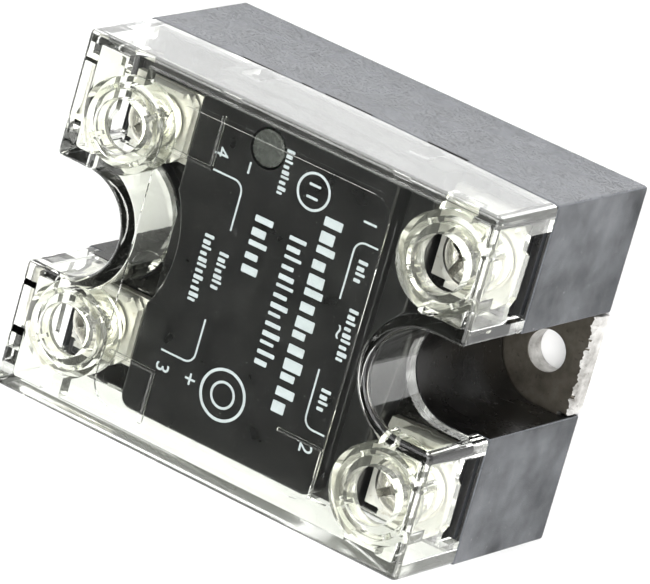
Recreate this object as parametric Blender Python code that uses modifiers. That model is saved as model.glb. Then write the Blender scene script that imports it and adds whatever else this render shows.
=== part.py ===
"""Panel-mount solid state relay with a clear clip-on terminal cover, in metres, +Z up.

The frame's origin is the centre of the base plate's underside. X runs along the length, from the
two input terminals (-X) to the two output terminals (+X), and Z points out of the panel.
"""

from collections import namedtuple
from math import acos, cos, degrees, pi, radians, sin

import bmesh
import bpy
from mathutils import Vector

MM = 0.001
# The gap left between two pieces, and how far cutters and joined blocks run past a face
GAP = 0.3 * MM
OVER = 1.0 * MM

# Facets round a hole, round a small pin or lead, and round a turned piece
HOLE_SIDES = 24
PIN_SIDES = 16
LEAD_SIDES = 10
BODY_SIDES = 20
TURNED_SIDES = 32
DRIVER_HOLE_SIDES = 40

# Outer envelope and levels
HALF_X = 29.1 * MM
HALF_Y = 22.4 * MM
TOP_Z = 32.8 * MM
SEAM_Z = 20.1 * MM
DECK_Z = 20.6 * MM
RIM_Z = 22.0 * MM
SHELF_Z = 24.0 * MM
PLATEAU_Z = 27.0 * MM

# The notch at each end, which leaves the mounting screw clear
NOTCH_X = 24.6 * MM
NOTCH_R = 6.5 * MM
NOTCH_STEPS = 20

# Base plate
PLATE_T = 3.0 * MM
PLATE_X = 27.6 * MM
PLATE_Y = 20.9 * MM
TONGUE_Y = NOTCH_R - GAP
MOUNT_X = 24.0 * MM
MOUNT_R = 2.5 * MM

# Housing
SKIRT_Z = 0.2 * MM
WALL = 1.6 * MM
ROOF = 1.6 * MM
DECK_T = 2.0 * MM
DECK_INSET = 1.9 * MM
SHELF_X = 16.2 * MM
SHELF_Y = HALF_Y - DECK_INSET
PLATEAU_LEFT = -15.2 * MM
PLATEAU_RIGHT = 12.8 * MM
PLATEAU_Y = 20.0 * MM
PLATEAU_R = 1.6 * MM
PLATEAU_ARC_X = -27.6 * MM
PLATEAU_ARC_R = 14.3 * MM
PLATEAU_ARC_STEPS = 14
CORNER_STEPS = 4
CAVITY_TOP = DECK_Z - DECK_T
SILL_Z = 21.0 * MM
SILL_D = 1.2 * MM

# Cover
COVER_T = 1.5 * MM
COVER_Z = SEAM_Z + GAP
COVER_NOTCH_Z = RIM_Z + GAP
COVER_EDGE_R = 1.1 * MM
WINDOW_IN = 8.4 * MM
WINDOW_OUT = 19.3 * MM
WINDOW_TOP = 25.2 * MM
COLLAR_Z = 28.2 * MM
WEB_T = 0.9 * MM
WEB_Z = 29.2 * MM
PANEL_MIN_X = -16.0 * MM
PANEL_MAX_X = 15.6 * MM
PANEL_Y = 18.7 * MM
PANEL_R = 2.8 * MM
PANEL_D = 0.25 * MM

# Catches on the long sides, and the grooves inside the cover that pass over them
CATCH_X = 12.0 * MM
CATCH_HALF = 0.9 * MM
CATCH_D = 0.8 * MM
CATCH_LOW = 21.6 * MM
CATCH_HIGH = 22.8 * MM
GROOVE_HALF = 1.3 * MM
GROOVE_D = 0.8 * MM
GROOVE_TOP = 23.8 * MM

# Terminals. `end` is the sign of X towards the nearer end, and `side` the sign of Y.
Terminal = namedtuple(
    "Terminal", "number x y end side head_r shank_r collar_r bore_r driver_r half_y"
)
OUTPUT_SIZES = (3.8 * MM, 2.0 * MM, 6.0 * MM, 4.7 * MM, 3.5 * MM, 5.0 * MM)
INPUT_SIZES = (3.4 * MM, 1.75 * MM, 5.75 * MM, 4.4 * MM, 3.3 * MM, 4.3 * MM)
OUTPUT_X = 22.9 * MM
OUTPUT_Y = 14.3 * MM
INPUT_X = -22.0 * MM
INPUT_Y = 12.8 * MM
TERMINALS = (
    Terminal(1, OUTPUT_X, OUTPUT_Y, 1, 1, *OUTPUT_SIZES),
    Terminal(2, OUTPUT_X, -OUTPUT_Y, 1, -1, *OUTPUT_SIZES),
    Terminal(3, INPUT_X, -INPUT_Y, -1, -1, *INPUT_SIZES),
    Terminal(4, INPUT_X, INPUT_Y, -1, 1, *INPUT_SIZES),
)
LUG_T = 1.2 * MM
LUG_IN = 5.3 * MM
LUG_OUT = 2.9 * MM
LUG_Z = DECK_Z + GAP
LEG_T = 1.0 * MM
LEG_HALF_Y = 2.6 * MM
FOOT_IN = 4.2 * MM
CLAMP_T = 1.2 * MM
CLAMP_HALF_X = 4.1 * MM
CLAMP_Z = LUG_Z + LUG_T + GAP
CLAMP_CHAMFER = 1.2 * MM
FLANGE_T = 0.6 * MM
FLANGE_H = 0.9 * MM
SCREW_CLEARANCE = 0.4 * MM
HEAD_T = 2.7 * MM
HEAD_DOME = 0.7 * MM
# Points down the head's outer side, as shares of its radius and of its dome below the top
HEAD_CURVE = ((0.0, 0.0), (0.55, 0.2), (0.85, 0.55), (1.0, 1.5))
HEAD_Z = CLAMP_Z + CLAMP_T + GAP
SHANK_Z = 16.4 * MM
SHANK_POINT = 0.6 * MM
DRIVE_W = 1.1 * MM
DRIVE_D = 1.5 * MM
DRIVE_SPAN = 0.72
NUT_HALF = 3.5 * MM
NUT_T = 3.0 * MM
NUT_Z = 17.3 * MM
BOSS_HALF = 5.2 * MM
BOSS_Z = 15.2 * MM
BOSS_FLOOR = 0.8 * MM

# Power stage on the base plate
SUBSTRATE_Z = PLATE_T + GAP
SUBSTRATE_T = 1.0 * MM
SUBSTRATE_MIN_X = -12.0 * MM
SUBSTRATE_MAX_X = 15.4 * MM
SUBSTRATE_HALF_Y = 17.5 * MM
DIE_Z = SUBSTRATE_Z + SUBSTRATE_T + GAP
DIE_T = 0.6 * MM
DIE_HALF = 3.4 * MM
DIE_X = 2.0 * MM
DIE_Y = 7.5 * MM
STRAP_Z = DIE_Z + DIE_T + GAP
STRAP_T = 0.6 * MM
STRAP_HALF_Y = 1.7 * MM
STRAP_END_X = -8.0 * MM
STRAP_FOOT = 1.2 * MM
STRAP_CREST = 1.5 * MM
GATE_R = 0.5 * MM
GATE_X = 4.4 * MM
GATE_Y = 9.9 * MM

# Control board and what it carries
BOARD_Z = 13.6 * MM
BOARD_T = 1.6 * MM
BOARD_MIN_X = -15.8 * MM
BOARD_MAX_X = 11.0 * MM
BOARD_HALF_Y = 18.2 * MM
ON_BOARD_Z = BOARD_Z + BOARD_T + GAP
OPTO_AT = (-7.0 * MM, 0.0)
OPTO_HALF_X = 4.3 * MM
OPTO_HALF_Y = 3.2 * MM
OPTO_T = 3.4 * MM
OPTO_LIFT = 0.5 * MM
OPTO_PITCH = 2.54 * MM
OPTO_LEG = 0.6 * MM
CAP_AT = (3.2 * MM, -9.5 * MM)
CAP_HALF_X = 6.4 * MM
CAP_HALF_Y = 2.8 * MM
CAP_T = 8.4 * MM
CAP_EDGE_R = 0.5 * MM
SNUBBER_AT = (3.6 * MM, 4.0 * MM)
SNUBBER_HALF = 4.6 * MM
SNUBBER_R = 1.9 * MM
INPUT_RESISTOR_AT = (-7.2 * MM, -9.0 * MM)
INPUT_RESISTOR_HALF = 2.1 * MM
INPUT_RESISTOR_R = 1.1 * MM
LEAD_R = 0.4 * MM
LEAD_OUT = 1.2 * MM
LEAD_DOWN_R = 0.36 * MM
POTTING_Z = 12.6 * MM
POCKET_Z = 7.4 * MM

# Status light
LENS_X = -5.0 * MM
LENS_Y = 16.4 * MM
LENS_R = 2.2 * MM
LENS_FOOT_Z = 21.6 * MM
LENS_NECK_R = 1.8 * MM
LENS_NECK_Z = 24.0 * MM
LENS_PROUD = 0.25 * MM
LED_R = 1.5 * MM
LED_FLANGE_R = 1.9 * MM
LED_FLANGE_T = 1.0 * MM
# A rounded top's shoulder point, as a share of its radius and a share of its fall
SHOULDER_OUT = 0.7
SHOULDER_DOWN = 0.3


def clear_scene():
    for obj in list(bpy.data.objects):
        bpy.data.objects.remove(obj, do_unlink=True)


def new_collection(name):
    collection = bpy.data.collections.new(name)
    bpy.context.scene.collection.children.link(collection)
    return collection


def material(name, colour, roughness, metallic=0.0, transmission=0.0, ior=1.5):
    made = bpy.data.materials.new(name)
    made.use_nodes = True
    shader = made.node_tree.nodes["Principled BSDF"]
    shader.inputs["Base Color"].default_value = (*colour, 1.0)
    shader.inputs["Roughness"].default_value = roughness
    shader.inputs["Metallic"].default_value = metallic
    shader.inputs["Transmission Weight"].default_value = transmission
    shader.inputs["IOR"].default_value = ior
    return made


def move_to(obj, collection):
    for holder in list(obj.users_collection):
        holder.objects.unlink(obj)
    collection.objects.link(obj)


def as_cutter(obj):
    move_to(obj, cutters)
    obj.hide_render = True
    obj.display_type = "WIRE"
    return obj


def as_part(obj, name, finish):
    move_to(obj, relay)
    obj.name = name
    obj.data.name = name
    obj.data.materials.clear()
    obj.data.materials.append(finish)
    return obj


def box(low, high):
    """A cube primitive stretched between two corners."""
    low = Vector(low)
    high = Vector(high)
    bpy.ops.mesh.primitive_cube_add(size=1.0, location=(low + high) / 2)
    obj = bpy.context.object
    obj.scale = high - low
    bpy.ops.object.transform_apply(location=False, rotation=False, scale=True)
    return obj


def cylinder(x, y, z0, z1, radius, sides=TURNED_SIDES):
    bpy.ops.mesh.primitive_cylinder_add(
        vertices=sides, radius=radius, depth=z1 - z0, location=(x, y, (z0 + z1) / 2)
    )
    return bpy.context.object


def turned(x, y, profile, steps=TURNED_SIDES):
    """A solid of revolution about a vertical axis through (x, y). The profile's points are
    (radius, z) and run down the outer side. A profile off the axis closes on itself."""
    mesh = bpy.data.meshes.new("turned")
    points = [(radius, 0.0, z) for radius, z in profile]
    edges = [(i, i + 1) for i in range(len(points) - 1)]
    if profile[0][0] > 0:
        edges.append((len(points) - 1, 0))
    mesh.from_pydata(points, edges, [])
    obj = bpy.data.objects.new("turned", mesh)
    bpy.context.scene.collection.objects.link(obj)
    obj.location = (x, y, 0.0)
    screw = obj.modifiers.new("Turn", "SCREW")
    screw.steps = steps
    screw.render_steps = steps
    screw.use_merge_vertices = True
    screw.merge_threshold = 0.00001
    screw.use_smooth_shade = False
    return obj


def prism(points, z0, z1):
    """A flat outline, filled and extruded between two heights, as a mesh with welded caps."""
    curve = bpy.data.curves.new("outline", "CURVE")
    curve.dimensions = "2D"
    curve.fill_mode = "BOTH"
    curve.extrude = (z1 - z0) / 2
    spline = curve.splines.new("POLY")
    spline.points.add(len(points) - 1)
    for point, (x, y) in zip(spline.points, points):
        point.co = (x, y, 0.0, 1.0)
    spline.use_cyclic_u = True
    drawn = bpy.data.objects.new("outline", curve)
    bpy.context.scene.collection.objects.link(drawn)
    drawn.location.z = (z0 + z1) / 2
    bpy.context.view_layer.update()
    return meshed(drawn)


def meshed(source):
    """The evaluated shape of an object as a plain welded mesh, which replaces that object."""
    graph = bpy.context.evaluated_depsgraph_get()
    mesh = bpy.data.meshes.new_from_object(source.evaluated_get(graph))
    obj = bpy.data.objects.new(source.name + "_mesh", mesh)
    obj.matrix_world = source.matrix_world.copy()
    bpy.context.scene.collection.objects.link(obj)
    bpy.data.objects.remove(source, do_unlink=True)
    weld = bmesh_of(mesh)
    bmesh.ops.remove_doubles(weld, verts=weld.verts, dist=1e-6)
    bmesh.ops.recalc_face_normals(weld, faces=weld.faces)
    weld.to_mesh(mesh)
    weld.free()
    return obj


def bmesh_of(mesh):
    made = bmesh.new()
    made.from_mesh(mesh)
    return made


def boolean(obj, other, operation):
    as_cutter(other)
    modifier = obj.modifiers.new(operation.title(), "BOOLEAN")
    modifier.operation = operation
    modifier.solver = "EXACT"
    modifier.object = other
    return obj


def cut(obj, *others):
    for other in others:
        boolean(obj, other, "DIFFERENCE")
    return obj


def join(obj, *others):
    for other in others:
        boolean(obj, other, "UNION")
    return obj


def bevel(obj, width, segments=2, angle=40):
    modifier = obj.modifiers.new("Bevel", "BEVEL")
    modifier.width = width
    modifier.segments = segments
    modifier.limit_method = "ANGLE"
    modifier.angle_limit = radians(angle)
    modifier.use_clamp_overlap = True
    return obj


def arc(cx, cy, radius, start, end, steps):
    """Points on a circle from one angle to another, in degrees."""
    return [
        (
            cx + radius * cos(radians(start + (end - start) * i / steps)),
            cy + radius * sin(radians(start + (end - start) * i / steps)),
        )
        for i in range(steps + 1)
    ]


def rounded_rectangle(x0, y0, x1, y1, radius):
    steps = CORNER_STEPS
    points = arc(x1 - radius, y1 - radius, radius, 0, 90, steps)
    points += arc(x0 + radius, y1 - radius, radius, 90, 180, steps)
    points += arc(x0 + radius, y0 + radius, radius, 180, 270, steps)
    points += arc(x1 - radius, y0 + radius, radius, 270, 360, steps)
    return points


def notch_plan(end, radius, reach):
    """The plan of a round-ended notch of this radius at one end, out to x = reach."""
    points = [(reach, radius)] + arc(NOTCH_X, 0.0, radius, 90, 270, NOTCH_STEPS)
    points.append((reach, -radius))
    return [(end * x, end * y) for x, y in points]


def notch_cutter(end, radius=NOTCH_R):
    return prism(notch_plan(end, radius, HALF_X + OVER), -2 * OVER, TOP_Z + OVER)


def notched_block(half_x, half_y, notch_r, z0, z1):
    """A block with a round-ended notch in each end."""
    block = box((-half_x, -half_y, z0), (half_x, half_y, z1))
    return cut(block, notch_cutter(-1, notch_r), notch_cutter(1, notch_r))


def along_y(points, y0, y1):
    """A prism whose outline is drawn in X and Z, between two values of Y."""
    obj = prism(points, (y0 - y1) / 2, (y1 - y0) / 2)
    obj.rotation_euler.x = pi / 2
    obj.location.y = (y0 + y1) / 2
    return obj


def between(x0, x1):
    return min(x0, x1), max(x0, x1)


def plateau_plan():
    """The raised label area: a rounded rectangle with a shallow arc around the input notch."""
    half = degrees(acos((PLATEAU_LEFT - PLATEAU_ARC_X) / PLATEAU_ARC_R))
    r = PLATEAU_R
    points = arc(PLATEAU_RIGHT - r, PLATEAU_Y - r, r, 0, 90, CORNER_STEPS)
    points += arc(PLATEAU_LEFT + r, PLATEAU_Y - r, r, 90, 180, CORNER_STEPS)
    points += arc(PLATEAU_ARC_X, 0.0, PLATEAU_ARC_R, half, -half, PLATEAU_ARC_STEPS)
    points += arc(PLATEAU_LEFT + r, -PLATEAU_Y + r, r, 180, 270, CORNER_STEPS)
    points += arc(PLATEAU_RIGHT - r, -PLATEAU_Y + r, r, 270, 360, CORNER_STEPS)
    return points


def base_plate():
    plate = box((-PLATE_X, -PLATE_Y, 0), (PLATE_X, PLATE_Y, PLATE_T))
    join(plate, box((-HALF_X, -TONGUE_Y, 0), (HALF_X, TONGUE_Y, PLATE_T)))
    cut(plate, cylinder(MOUNT_X, 0, -OVER, PLATE_T + OVER, MOUNT_R))
    cut(plate, cylinder(-MOUNT_X, 0, -OVER, PLATE_T + OVER, MOUNT_R))
    cut(
        plate,
        box((-HALF_X - OVER, -MOUNT_R, -OVER), (-MOUNT_X, MOUNT_R, PLATE_T + OVER)),
    )
    as_part(plate, "base_plate", aluminium)


def terminal_openings(t):
    """What the deck leaves out under one terminal: the nut's pocket, the screw's well and the
    slot that the lug's leg goes down."""
    nut = NUT_HALF + GAP
    leg_x = between(t.x - t.end * (LUG_IN + GAP), t.x - t.end * (LUG_IN - LEG_T - GAP))
    leg_y = LEG_HALF_Y + GAP
    return (
        box((t.x - nut, t.y - nut, NUT_Z - GAP), (t.x + nut, t.y + nut, DECK_Z + OVER)),
        cylinder(t.x, t.y, BOSS_Z + BOSS_FLOOR, NUT_Z, t.shank_r + 2 * GAP, HOLE_SIDES),
        box(
            (leg_x[0], t.y - leg_y, BOSS_Z - OVER),
            (leg_x[1], t.y + leg_y, DECK_Z + OVER),
        ),
    )


def housing():
    deck_x = HALF_X - DECK_INSET
    body = box((-HALF_X, -HALF_Y, SKIRT_Z), (HALF_X, HALF_Y, SEAM_Z))
    join(body, box((-deck_x, -SHELF_Y, SEAM_Z - OVER), (deck_x, SHELF_Y, DECK_Z)))
    join(body, box((-SHELF_X, -SHELF_Y, DECK_Z - OVER), (SHELF_X, SHELF_Y, SHELF_Z)))
    join(body, prism(plateau_plan(), SHELF_Z - OVER, PLATEAU_Z))
    for end in (-1, 1):
        join(body, prism(notch_plan(end, NOTCH_R + WALL, deck_x), DECK_Z - OVER, RIM_Z))
    for t in TERMINALS:
        sill_x = between(t.end * deck_x, t.end * (deck_x - SILL_D))
        sill_y = between(t.side * WINDOW_IN, t.side * WINDOW_OUT)
        join(
            body,
            box((sill_x[0], sill_y[0], DECK_Z - OVER), (sill_x[1], sill_y[1], SILL_Z)),
        )
    for end in (-1, 1):
        for side in (-1, 1):
            catch_y = between(side * (SHELF_Y - OVER), side * (SHELF_Y + CATCH_D))
            join(
                body,
                box(
                    (end * CATCH_X - CATCH_HALF, catch_y[0], CATCH_LOW),
                    (end * CATCH_X + CATCH_HALF, catch_y[1], CATCH_HIGH),
                ),
            )
        cut(body, notch_cutter(end))
    inner = (HALF_X - WALL, HALF_Y - WALL, NOTCH_R + WALL)
    cut(body, notched_block(*inner, -OVER, CAVITY_TOP))
    cut(
        body,
        box(
            (PLATEAU_ARC_X + PLATEAU_ARC_R + WALL, -PLATEAU_Y + WALL, CAVITY_TOP - OVER),
            (PLATEAU_RIGHT - WALL, PLATEAU_Y - WALL, PLATEAU_Z - ROOF),
        ),
    )
    pocket_x = PLATE_X + GAP
    pocket_y = PLATE_Y + GAP
    cut(
        body,
        box((-pocket_x, -pocket_y, -OVER), (pocket_x, pocket_y, PLATE_T + GAP)),
    )
    for t in TERMINALS:
        join(
            body,
            box(
                (t.x - BOSS_HALF, t.y - BOSS_HALF, BOSS_Z),
                (t.x + BOSS_HALF, t.y + BOSS_HALF, CAVITY_TOP + OVER),
            ),
        )
        cut(body, *terminal_openings(t))
    lens_z = (LENS_FOOT_Z - OVER, PLATEAU_Z + OVER)
    cut(body, cylinder(LENS_X, LENS_Y, *lens_z, LENS_R + GAP, HOLE_SIDES))
    as_part(body, "housing", black_plastic)


def clear_cover():
    skirt = box((-HALF_X, -HALF_Y, SEAM_Z - 2 * OVER), (HALF_X, HALF_Y, TOP_Z))
    bevel(skirt, COVER_EDGE_R, segments=3)
    hollow_x = HALF_X - COVER_T
    hollow_y = HALF_Y - COVER_T
    hollow = (hollow_x, hollow_y, NOTCH_R + COVER_T)
    cut(skirt, notched_block(*hollow, -OVER, TOP_Z - COVER_T))
    cut(
        skirt,
        box((-HALF_X - OVER, -HALF_Y - OVER, 0), (HALF_X + OVER, HALF_Y + OVER, COVER_Z)),
    )
    seat_x = HALF_X - DECK_INSET + GAP
    for end in (-1, 1):
        cut(skirt, notch_cutter(end))
        reach = between(end * SHELF_X / 2, end * seat_x)
        cut(
            skirt,
            box(
                (reach[0], -WINDOW_IN, SEAM_Z),
                (reach[1], WINDOW_IN, COVER_NOTCH_Z),
            ),
        )
        for side in (-1, 1):
            groove_y = between(side * (hollow_y - OVER), side * (hollow_y + GROOVE_D))
            cut(
                skirt,
                box(
                    (end * CATCH_X - GROOVE_HALF, groove_y[0], SEAM_Z),
                    (end * CATCH_X + GROOVE_HALF, groove_y[1], GROOVE_TOP),
                ),
            )
    for t in TERMINALS:
        ring = [(t.collar_r, TOP_Z - COVER_T / 2), (t.collar_r, COLLAR_Z)]
        ring += [(t.bore_r, COLLAR_Z), (t.bore_r, TOP_Z - COVER_T / 2)]
        join(skirt, turned(t.x, t.y, ring, DRIVER_HOLE_SIDES))
        web_y = between(t.y + t.side * (t.collar_r - GAP), t.side * (hollow_y + GAP))
        join(skirt, web(t, web_y))
        if t.end > 0:
            web_y = between(t.y - t.side * (t.collar_r - GAP), t.side * (NOTCH_R + GAP))
            join(skirt, web(t, web_y))
        window_x = between(t.end * (HALF_X + OVER), t.end * (hollow_x - GAP))
        window_y = between(t.side * WINDOW_IN, t.side * WINDOW_OUT)
        hole_z = (TOP_Z - 2 * COVER_T, TOP_Z + OVER)
        cut(
            skirt,
            box((window_x[0], window_y[0], SEAM_Z), (window_x[1], window_y[1], WINDOW_TOP)),
            cylinder(t.x, t.y, *hole_z, t.driver_r, DRIVER_HOLE_SIDES),
        )
    panel = rounded_rectangle(PANEL_MIN_X, -PANEL_Y, PANEL_MAX_X, PANEL_Y, PANEL_R)
    cut(skirt, prism(panel, TOP_Z - PANEL_D, TOP_Z + OVER))
    as_part(skirt, "clear_cover", clear_plastic)


def web(t, web_y):
    """A thin rib that ties a collar to a wall."""
    return box(
        (t.x - WEB_T / 2, web_y[0], WEB_Z),
        (t.x + WEB_T / 2, web_y[1], TOP_Z - COVER_T / 2),
    )


def lug(t):
    """A plate under the clamp, with a leg down through the deck and a foot turned inwards."""
    edge = t.x - t.end * LUG_IN
    plate_x = between(edge, t.x + t.end * LUG_OUT)
    leg_x = between(edge, edge + t.end * LEG_T)
    foot_x = between(edge + t.end * LEG_T, edge - t.end * FOOT_IN)
    foot_z = DIE_Z if t.end > 0 else ON_BOARD_Z
    bar = box((plate_x[0], t.y - t.half_y, LUG_Z), (plate_x[1], t.y + t.half_y, LUG_Z + LUG_T))
    join(
        bar,
        box(
            (leg_x[0], t.y - LEG_HALF_Y, foot_z),
            (leg_x[1], t.y + LEG_HALF_Y, LUG_Z + LUG_T / 2),
        ),
        box(
            (foot_x[0], t.y - LEG_HALF_Y + GAP, foot_z),
            (foot_x[1], t.y + LEG_HALF_Y - GAP, foot_z + LEG_T),
        ),
    )
    hole_r = t.shank_r + SCREW_CLEARANCE
    cut(bar, cylinder(t.x, t.y, LUG_Z - OVER, LUG_Z + LUG_T + OVER, hole_r, HOLE_SIDES))
    as_part(bar, f"terminal_lug_{t.number}", nickel)


def clamp_plate(t):
    """A pressure plate with clipped corners and two sides turned up around the screw head."""
    x = CLAMP_HALF_X
    y = t.half_y
    c = CLAMP_CHAMFER
    plan = [(x, y - c), (x - c, y), (c - x, y), (-x, y - c)]
    plan += [(-x, c - y), (c - x, -y), (x - c, -y), (x, c - y)]
    plan = [(t.x + px, t.y + py) for px, py in plan]
    plate = prism(plan, CLAMP_Z, CLAMP_Z + CLAMP_T)
    for side in (-1, 1):
        flange_y = between(t.y + side * y, t.y + side * (y - FLANGE_T))
        join(
            plate,
            box(
                (t.x - x + c, flange_y[0], CLAMP_Z + CLAMP_T / 2),
                (t.x + x - c, flange_y[1], CLAMP_Z + CLAMP_T + FLANGE_H),
            ),
        )
    hole_z = (CLAMP_Z - OVER, CLAMP_Z + CLAMP_T + OVER)
    cut(plate, cylinder(t.x, t.y, *hole_z, t.shank_r + SCREW_CLEARANCE, HOLE_SIDES))
    as_part(plate, f"clamp_plate_{t.number}", nickel)


def terminal_screw(t):
    """A pan head with a crossed slot, on a shank that stands in for the threaded one."""
    top = HEAD_Z + HEAD_T
    profile = [(t.head_r * out, top - HEAD_DOME * down) for out, down in HEAD_CURVE]
    profile += [
        (t.head_r, HEAD_Z),
        (t.shank_r, HEAD_Z),
        (t.shank_r, SHANK_Z + SHANK_POINT),
        (t.shank_r - SHANK_POINT, SHANK_Z),
        (0.0, SHANK_Z),
    ]
    screw = turned(t.x, t.y, profile)
    reach = t.head_r * DRIVE_SPAN
    half = DRIVE_W / 2
    cut(
        screw,
        box(
            (t.x - t.head_r - OVER, t.y - half, top - DRIVE_D),
            (t.x + t.head_r + OVER, t.y + half, top + OVER),
        ),
        box(
            (t.x - half, t.y - reach, top - DRIVE_D),
            (t.x + half, t.y + reach, top + OVER),
        ),
    )
    as_part(screw, f"terminal_screw_{t.number}", nickel)


def captive_nut(t):
    nut = box(
        (t.x - NUT_HALF, t.y - NUT_HALF, NUT_Z),
        (t.x + NUT_HALF, t.y + NUT_HALF, NUT_Z + NUT_T),
    )
    hole_z = (NUT_Z - OVER, NUT_Z + NUT_T + OVER)
    cut(nut, cylinder(t.x, t.y, *hole_z, t.shank_r + GAP, HOLE_SIDES))
    as_part(nut, f"captive_nut_{t.number}", steel)


def power_stage():
    """The insulating tile on the plate, the two thyristor dies, and their straps and gate pins."""
    tile = box(
        (SUBSTRATE_MIN_X, -SUBSTRATE_HALF_Y, SUBSTRATE_Z),
        (SUBSTRATE_MAX_X, SUBSTRATE_HALF_Y, SUBSTRATE_Z + SUBSTRATE_T),
    )
    as_part(tile, "ceramic_substrate", alumina)
    for letter, side in (("a", 1), ("b", -1)):
        y = side * DIE_Y
        die = box(
            (DIE_X - DIE_HALF, y - DIE_HALF, DIE_Z),
            (DIE_X + DIE_HALF, y + DIE_HALF, DIE_Z + DIE_T),
        )
        as_part(die, f"thyristor_die_{letter}", silicon)
        strap_end = DIE_X - DIE_HALF / 2
        over_die = DIE_X + DIE_HALF / 2
        profile = [
            (STRAP_END_X, DIE_Z),
            (STRAP_END_X + STRAP_FOOT, DIE_Z),
            (strap_end - STRAP_FOOT, STRAP_Z),
            (over_die, STRAP_Z),
            (over_die, STRAP_Z + STRAP_T),
            (strap_end - STRAP_CREST, STRAP_Z + STRAP_T),
            (STRAP_END_X + STRAP_T, DIE_Z + STRAP_T),
            (STRAP_END_X, DIE_Z + STRAP_T),
        ]
        strap = along_y(profile, y - STRAP_HALF_Y, y + STRAP_HALF_Y)
        as_part(strap, f"die_strap_{letter}", copper)
        pin_z = (DIE_Z + DIE_T + GAP, BOARD_Z - GAP)
        pin = cylinder(GATE_X, side * GATE_Y, *pin_z, GATE_R, PIN_SIDES)
        as_part(pin, f"gate_pin_{letter}", copper)


def control_board():
    board = box(
        (BOARD_MIN_X, -BOARD_HALF_Y, BOARD_Z),
        (BOARD_MAX_X, BOARD_HALF_Y, BOARD_Z + BOARD_T),
    )
    as_part(board, "control_board", fibreglass)


def optocoupler():
    """A small six-legged package across the board's middle."""
    x, y = OPTO_AT
    body = box(
        (x - OPTO_HALF_X, y - OPTO_HALF_Y, ON_BOARD_Z + OPTO_LIFT),
        (x + OPTO_HALF_X, y + OPTO_HALF_Y, ON_BOARD_Z + OPTO_LIFT + OPTO_T),
    )
    for step in (-1, 0, 1):
        leg_x = x + step * OPTO_PITCH
        for side in (-1, 1):
            leg_y = between(
                y + side * (OPTO_HALF_Y - GAP), y + side * (OPTO_HALF_Y + OPTO_LEG)
            )
            join(
                body,
                box(
                    (leg_x - OPTO_LEG, leg_y[0], ON_BOARD_Z),
                    (leg_x + OPTO_LEG, leg_y[1], ON_BOARD_Z + OPTO_LIFT + OPTO_T / 2),
                ),
            )
    as_part(body, "optocoupler", black_plastic)


def snubber_capacitor():
    x, y = CAP_AT
    body = box(
        (x - CAP_HALF_X, y - CAP_HALF_Y, ON_BOARD_Z),
        (x + CAP_HALF_X, y + CAP_HALF_Y, ON_BOARD_Z + CAP_T),
    )
    bevel(body, CAP_EDGE_R)
    as_part(body, "snubber_capacitor", capacitor_case)


def axial_resistor(name, place, half_length, radius):
    """A resistor lying along X, with its leads turned down to the board."""
    x, y = place
    axis_z = ON_BOARD_Z + radius + LEAD_R
    body = lying_cylinder(x, y, axis_z, half_length, radius, BODY_SIDES)
    lead_x = half_length + LEAD_OUT
    join(body, lying_cylinder(x, y, axis_z, lead_x + LEAD_R, LEAD_R, LEAD_SIDES))
    for side in (-1, 1):
        foot = (x + side * lead_x, y, ON_BOARD_Z, axis_z)
        join(body, cylinder(*foot, LEAD_DOWN_R, LEAD_SIDES))
    as_part(body, name, resistor_body)


def lying_cylinder(x, y, z, half_length, radius, sides):
    obj = cylinder(0, 0, -half_length, half_length, radius, sides)
    obj.rotation_euler.y = pi / 2
    obj.location = (x, y, z)
    return obj


def status_light():
    """The lens in the label plateau, and the lamp on the board that shines up it."""
    top = PLATEAU_Z + LENS_PROUD
    lens = [
        (0.0, top),
        (LENS_R * SHOULDER_OUT, top - LENS_PROUD * SHOULDER_DOWN),
        (LENS_R, top - LENS_PROUD),
        (LENS_R, LENS_NECK_Z),
        (LENS_NECK_R, LENS_NECK_Z),
        (LENS_NECK_R, LENS_FOOT_Z),
        (0.0, LENS_FOOT_Z),
    ]
    as_part(turned(LENS_X, LENS_Y, lens), "status_lens", frosted_plastic)
    top = LENS_FOOT_Z - 2 * GAP
    lamp = [
        (0.0, top),
        (LED_R * SHOULDER_OUT, top - LED_R * SHOULDER_DOWN),
        (LED_R, top - LED_R),
        (LED_R, ON_BOARD_Z + LED_FLANGE_T),
        (LED_FLANGE_R, ON_BOARD_Z + LED_FLANGE_T),
        (LED_FLANGE_R, ON_BOARD_Z),
        (0.0, ON_BOARD_Z),
    ]
    as_part(turned(LENS_X, LENS_Y, lamp, BODY_SIDES), "status_led", red_plastic)


def potting_compound():
    """The resin block in the housing, with a pocket over the power stage and wells for what
    stands up out of it."""
    inset = WALL + GAP
    plan = (HALF_X - inset, HALF_Y - inset, NOTCH_R + inset)
    block = notched_block(*plan, PLATE_T + 2 * GAP, POTTING_Z)
    cut(
        block,
        box(
            (SUBSTRATE_MIN_X - GAP, -SUBSTRATE_HALF_Y - GAP, 0),
            (SUBSTRATE_MAX_X + GAP, SUBSTRATE_HALF_Y + GAP, POCKET_Z),
        ),
    )
    for t in TERMINALS[:2]:
        edge = t.x - LUG_IN
        cut(
            block,
            box(
                (edge - FOOT_IN - GAP, t.y - LEG_HALF_Y - GAP, 0),
                (edge + LEG_T + GAP, t.y + LEG_HALF_Y + GAP, POTTING_Z + OVER),
            ),
            cylinder(GATE_X, t.side * GATE_Y, 0, POTTING_Z + OVER, GATE_R + GAP, PIN_SIDES),
        )
    as_part(block, "potting_compound", resin)


clear_scene()
relay = new_collection("solid_state_relay")
cutters = new_collection("cutters")
cutters.hide_render = True

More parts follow.
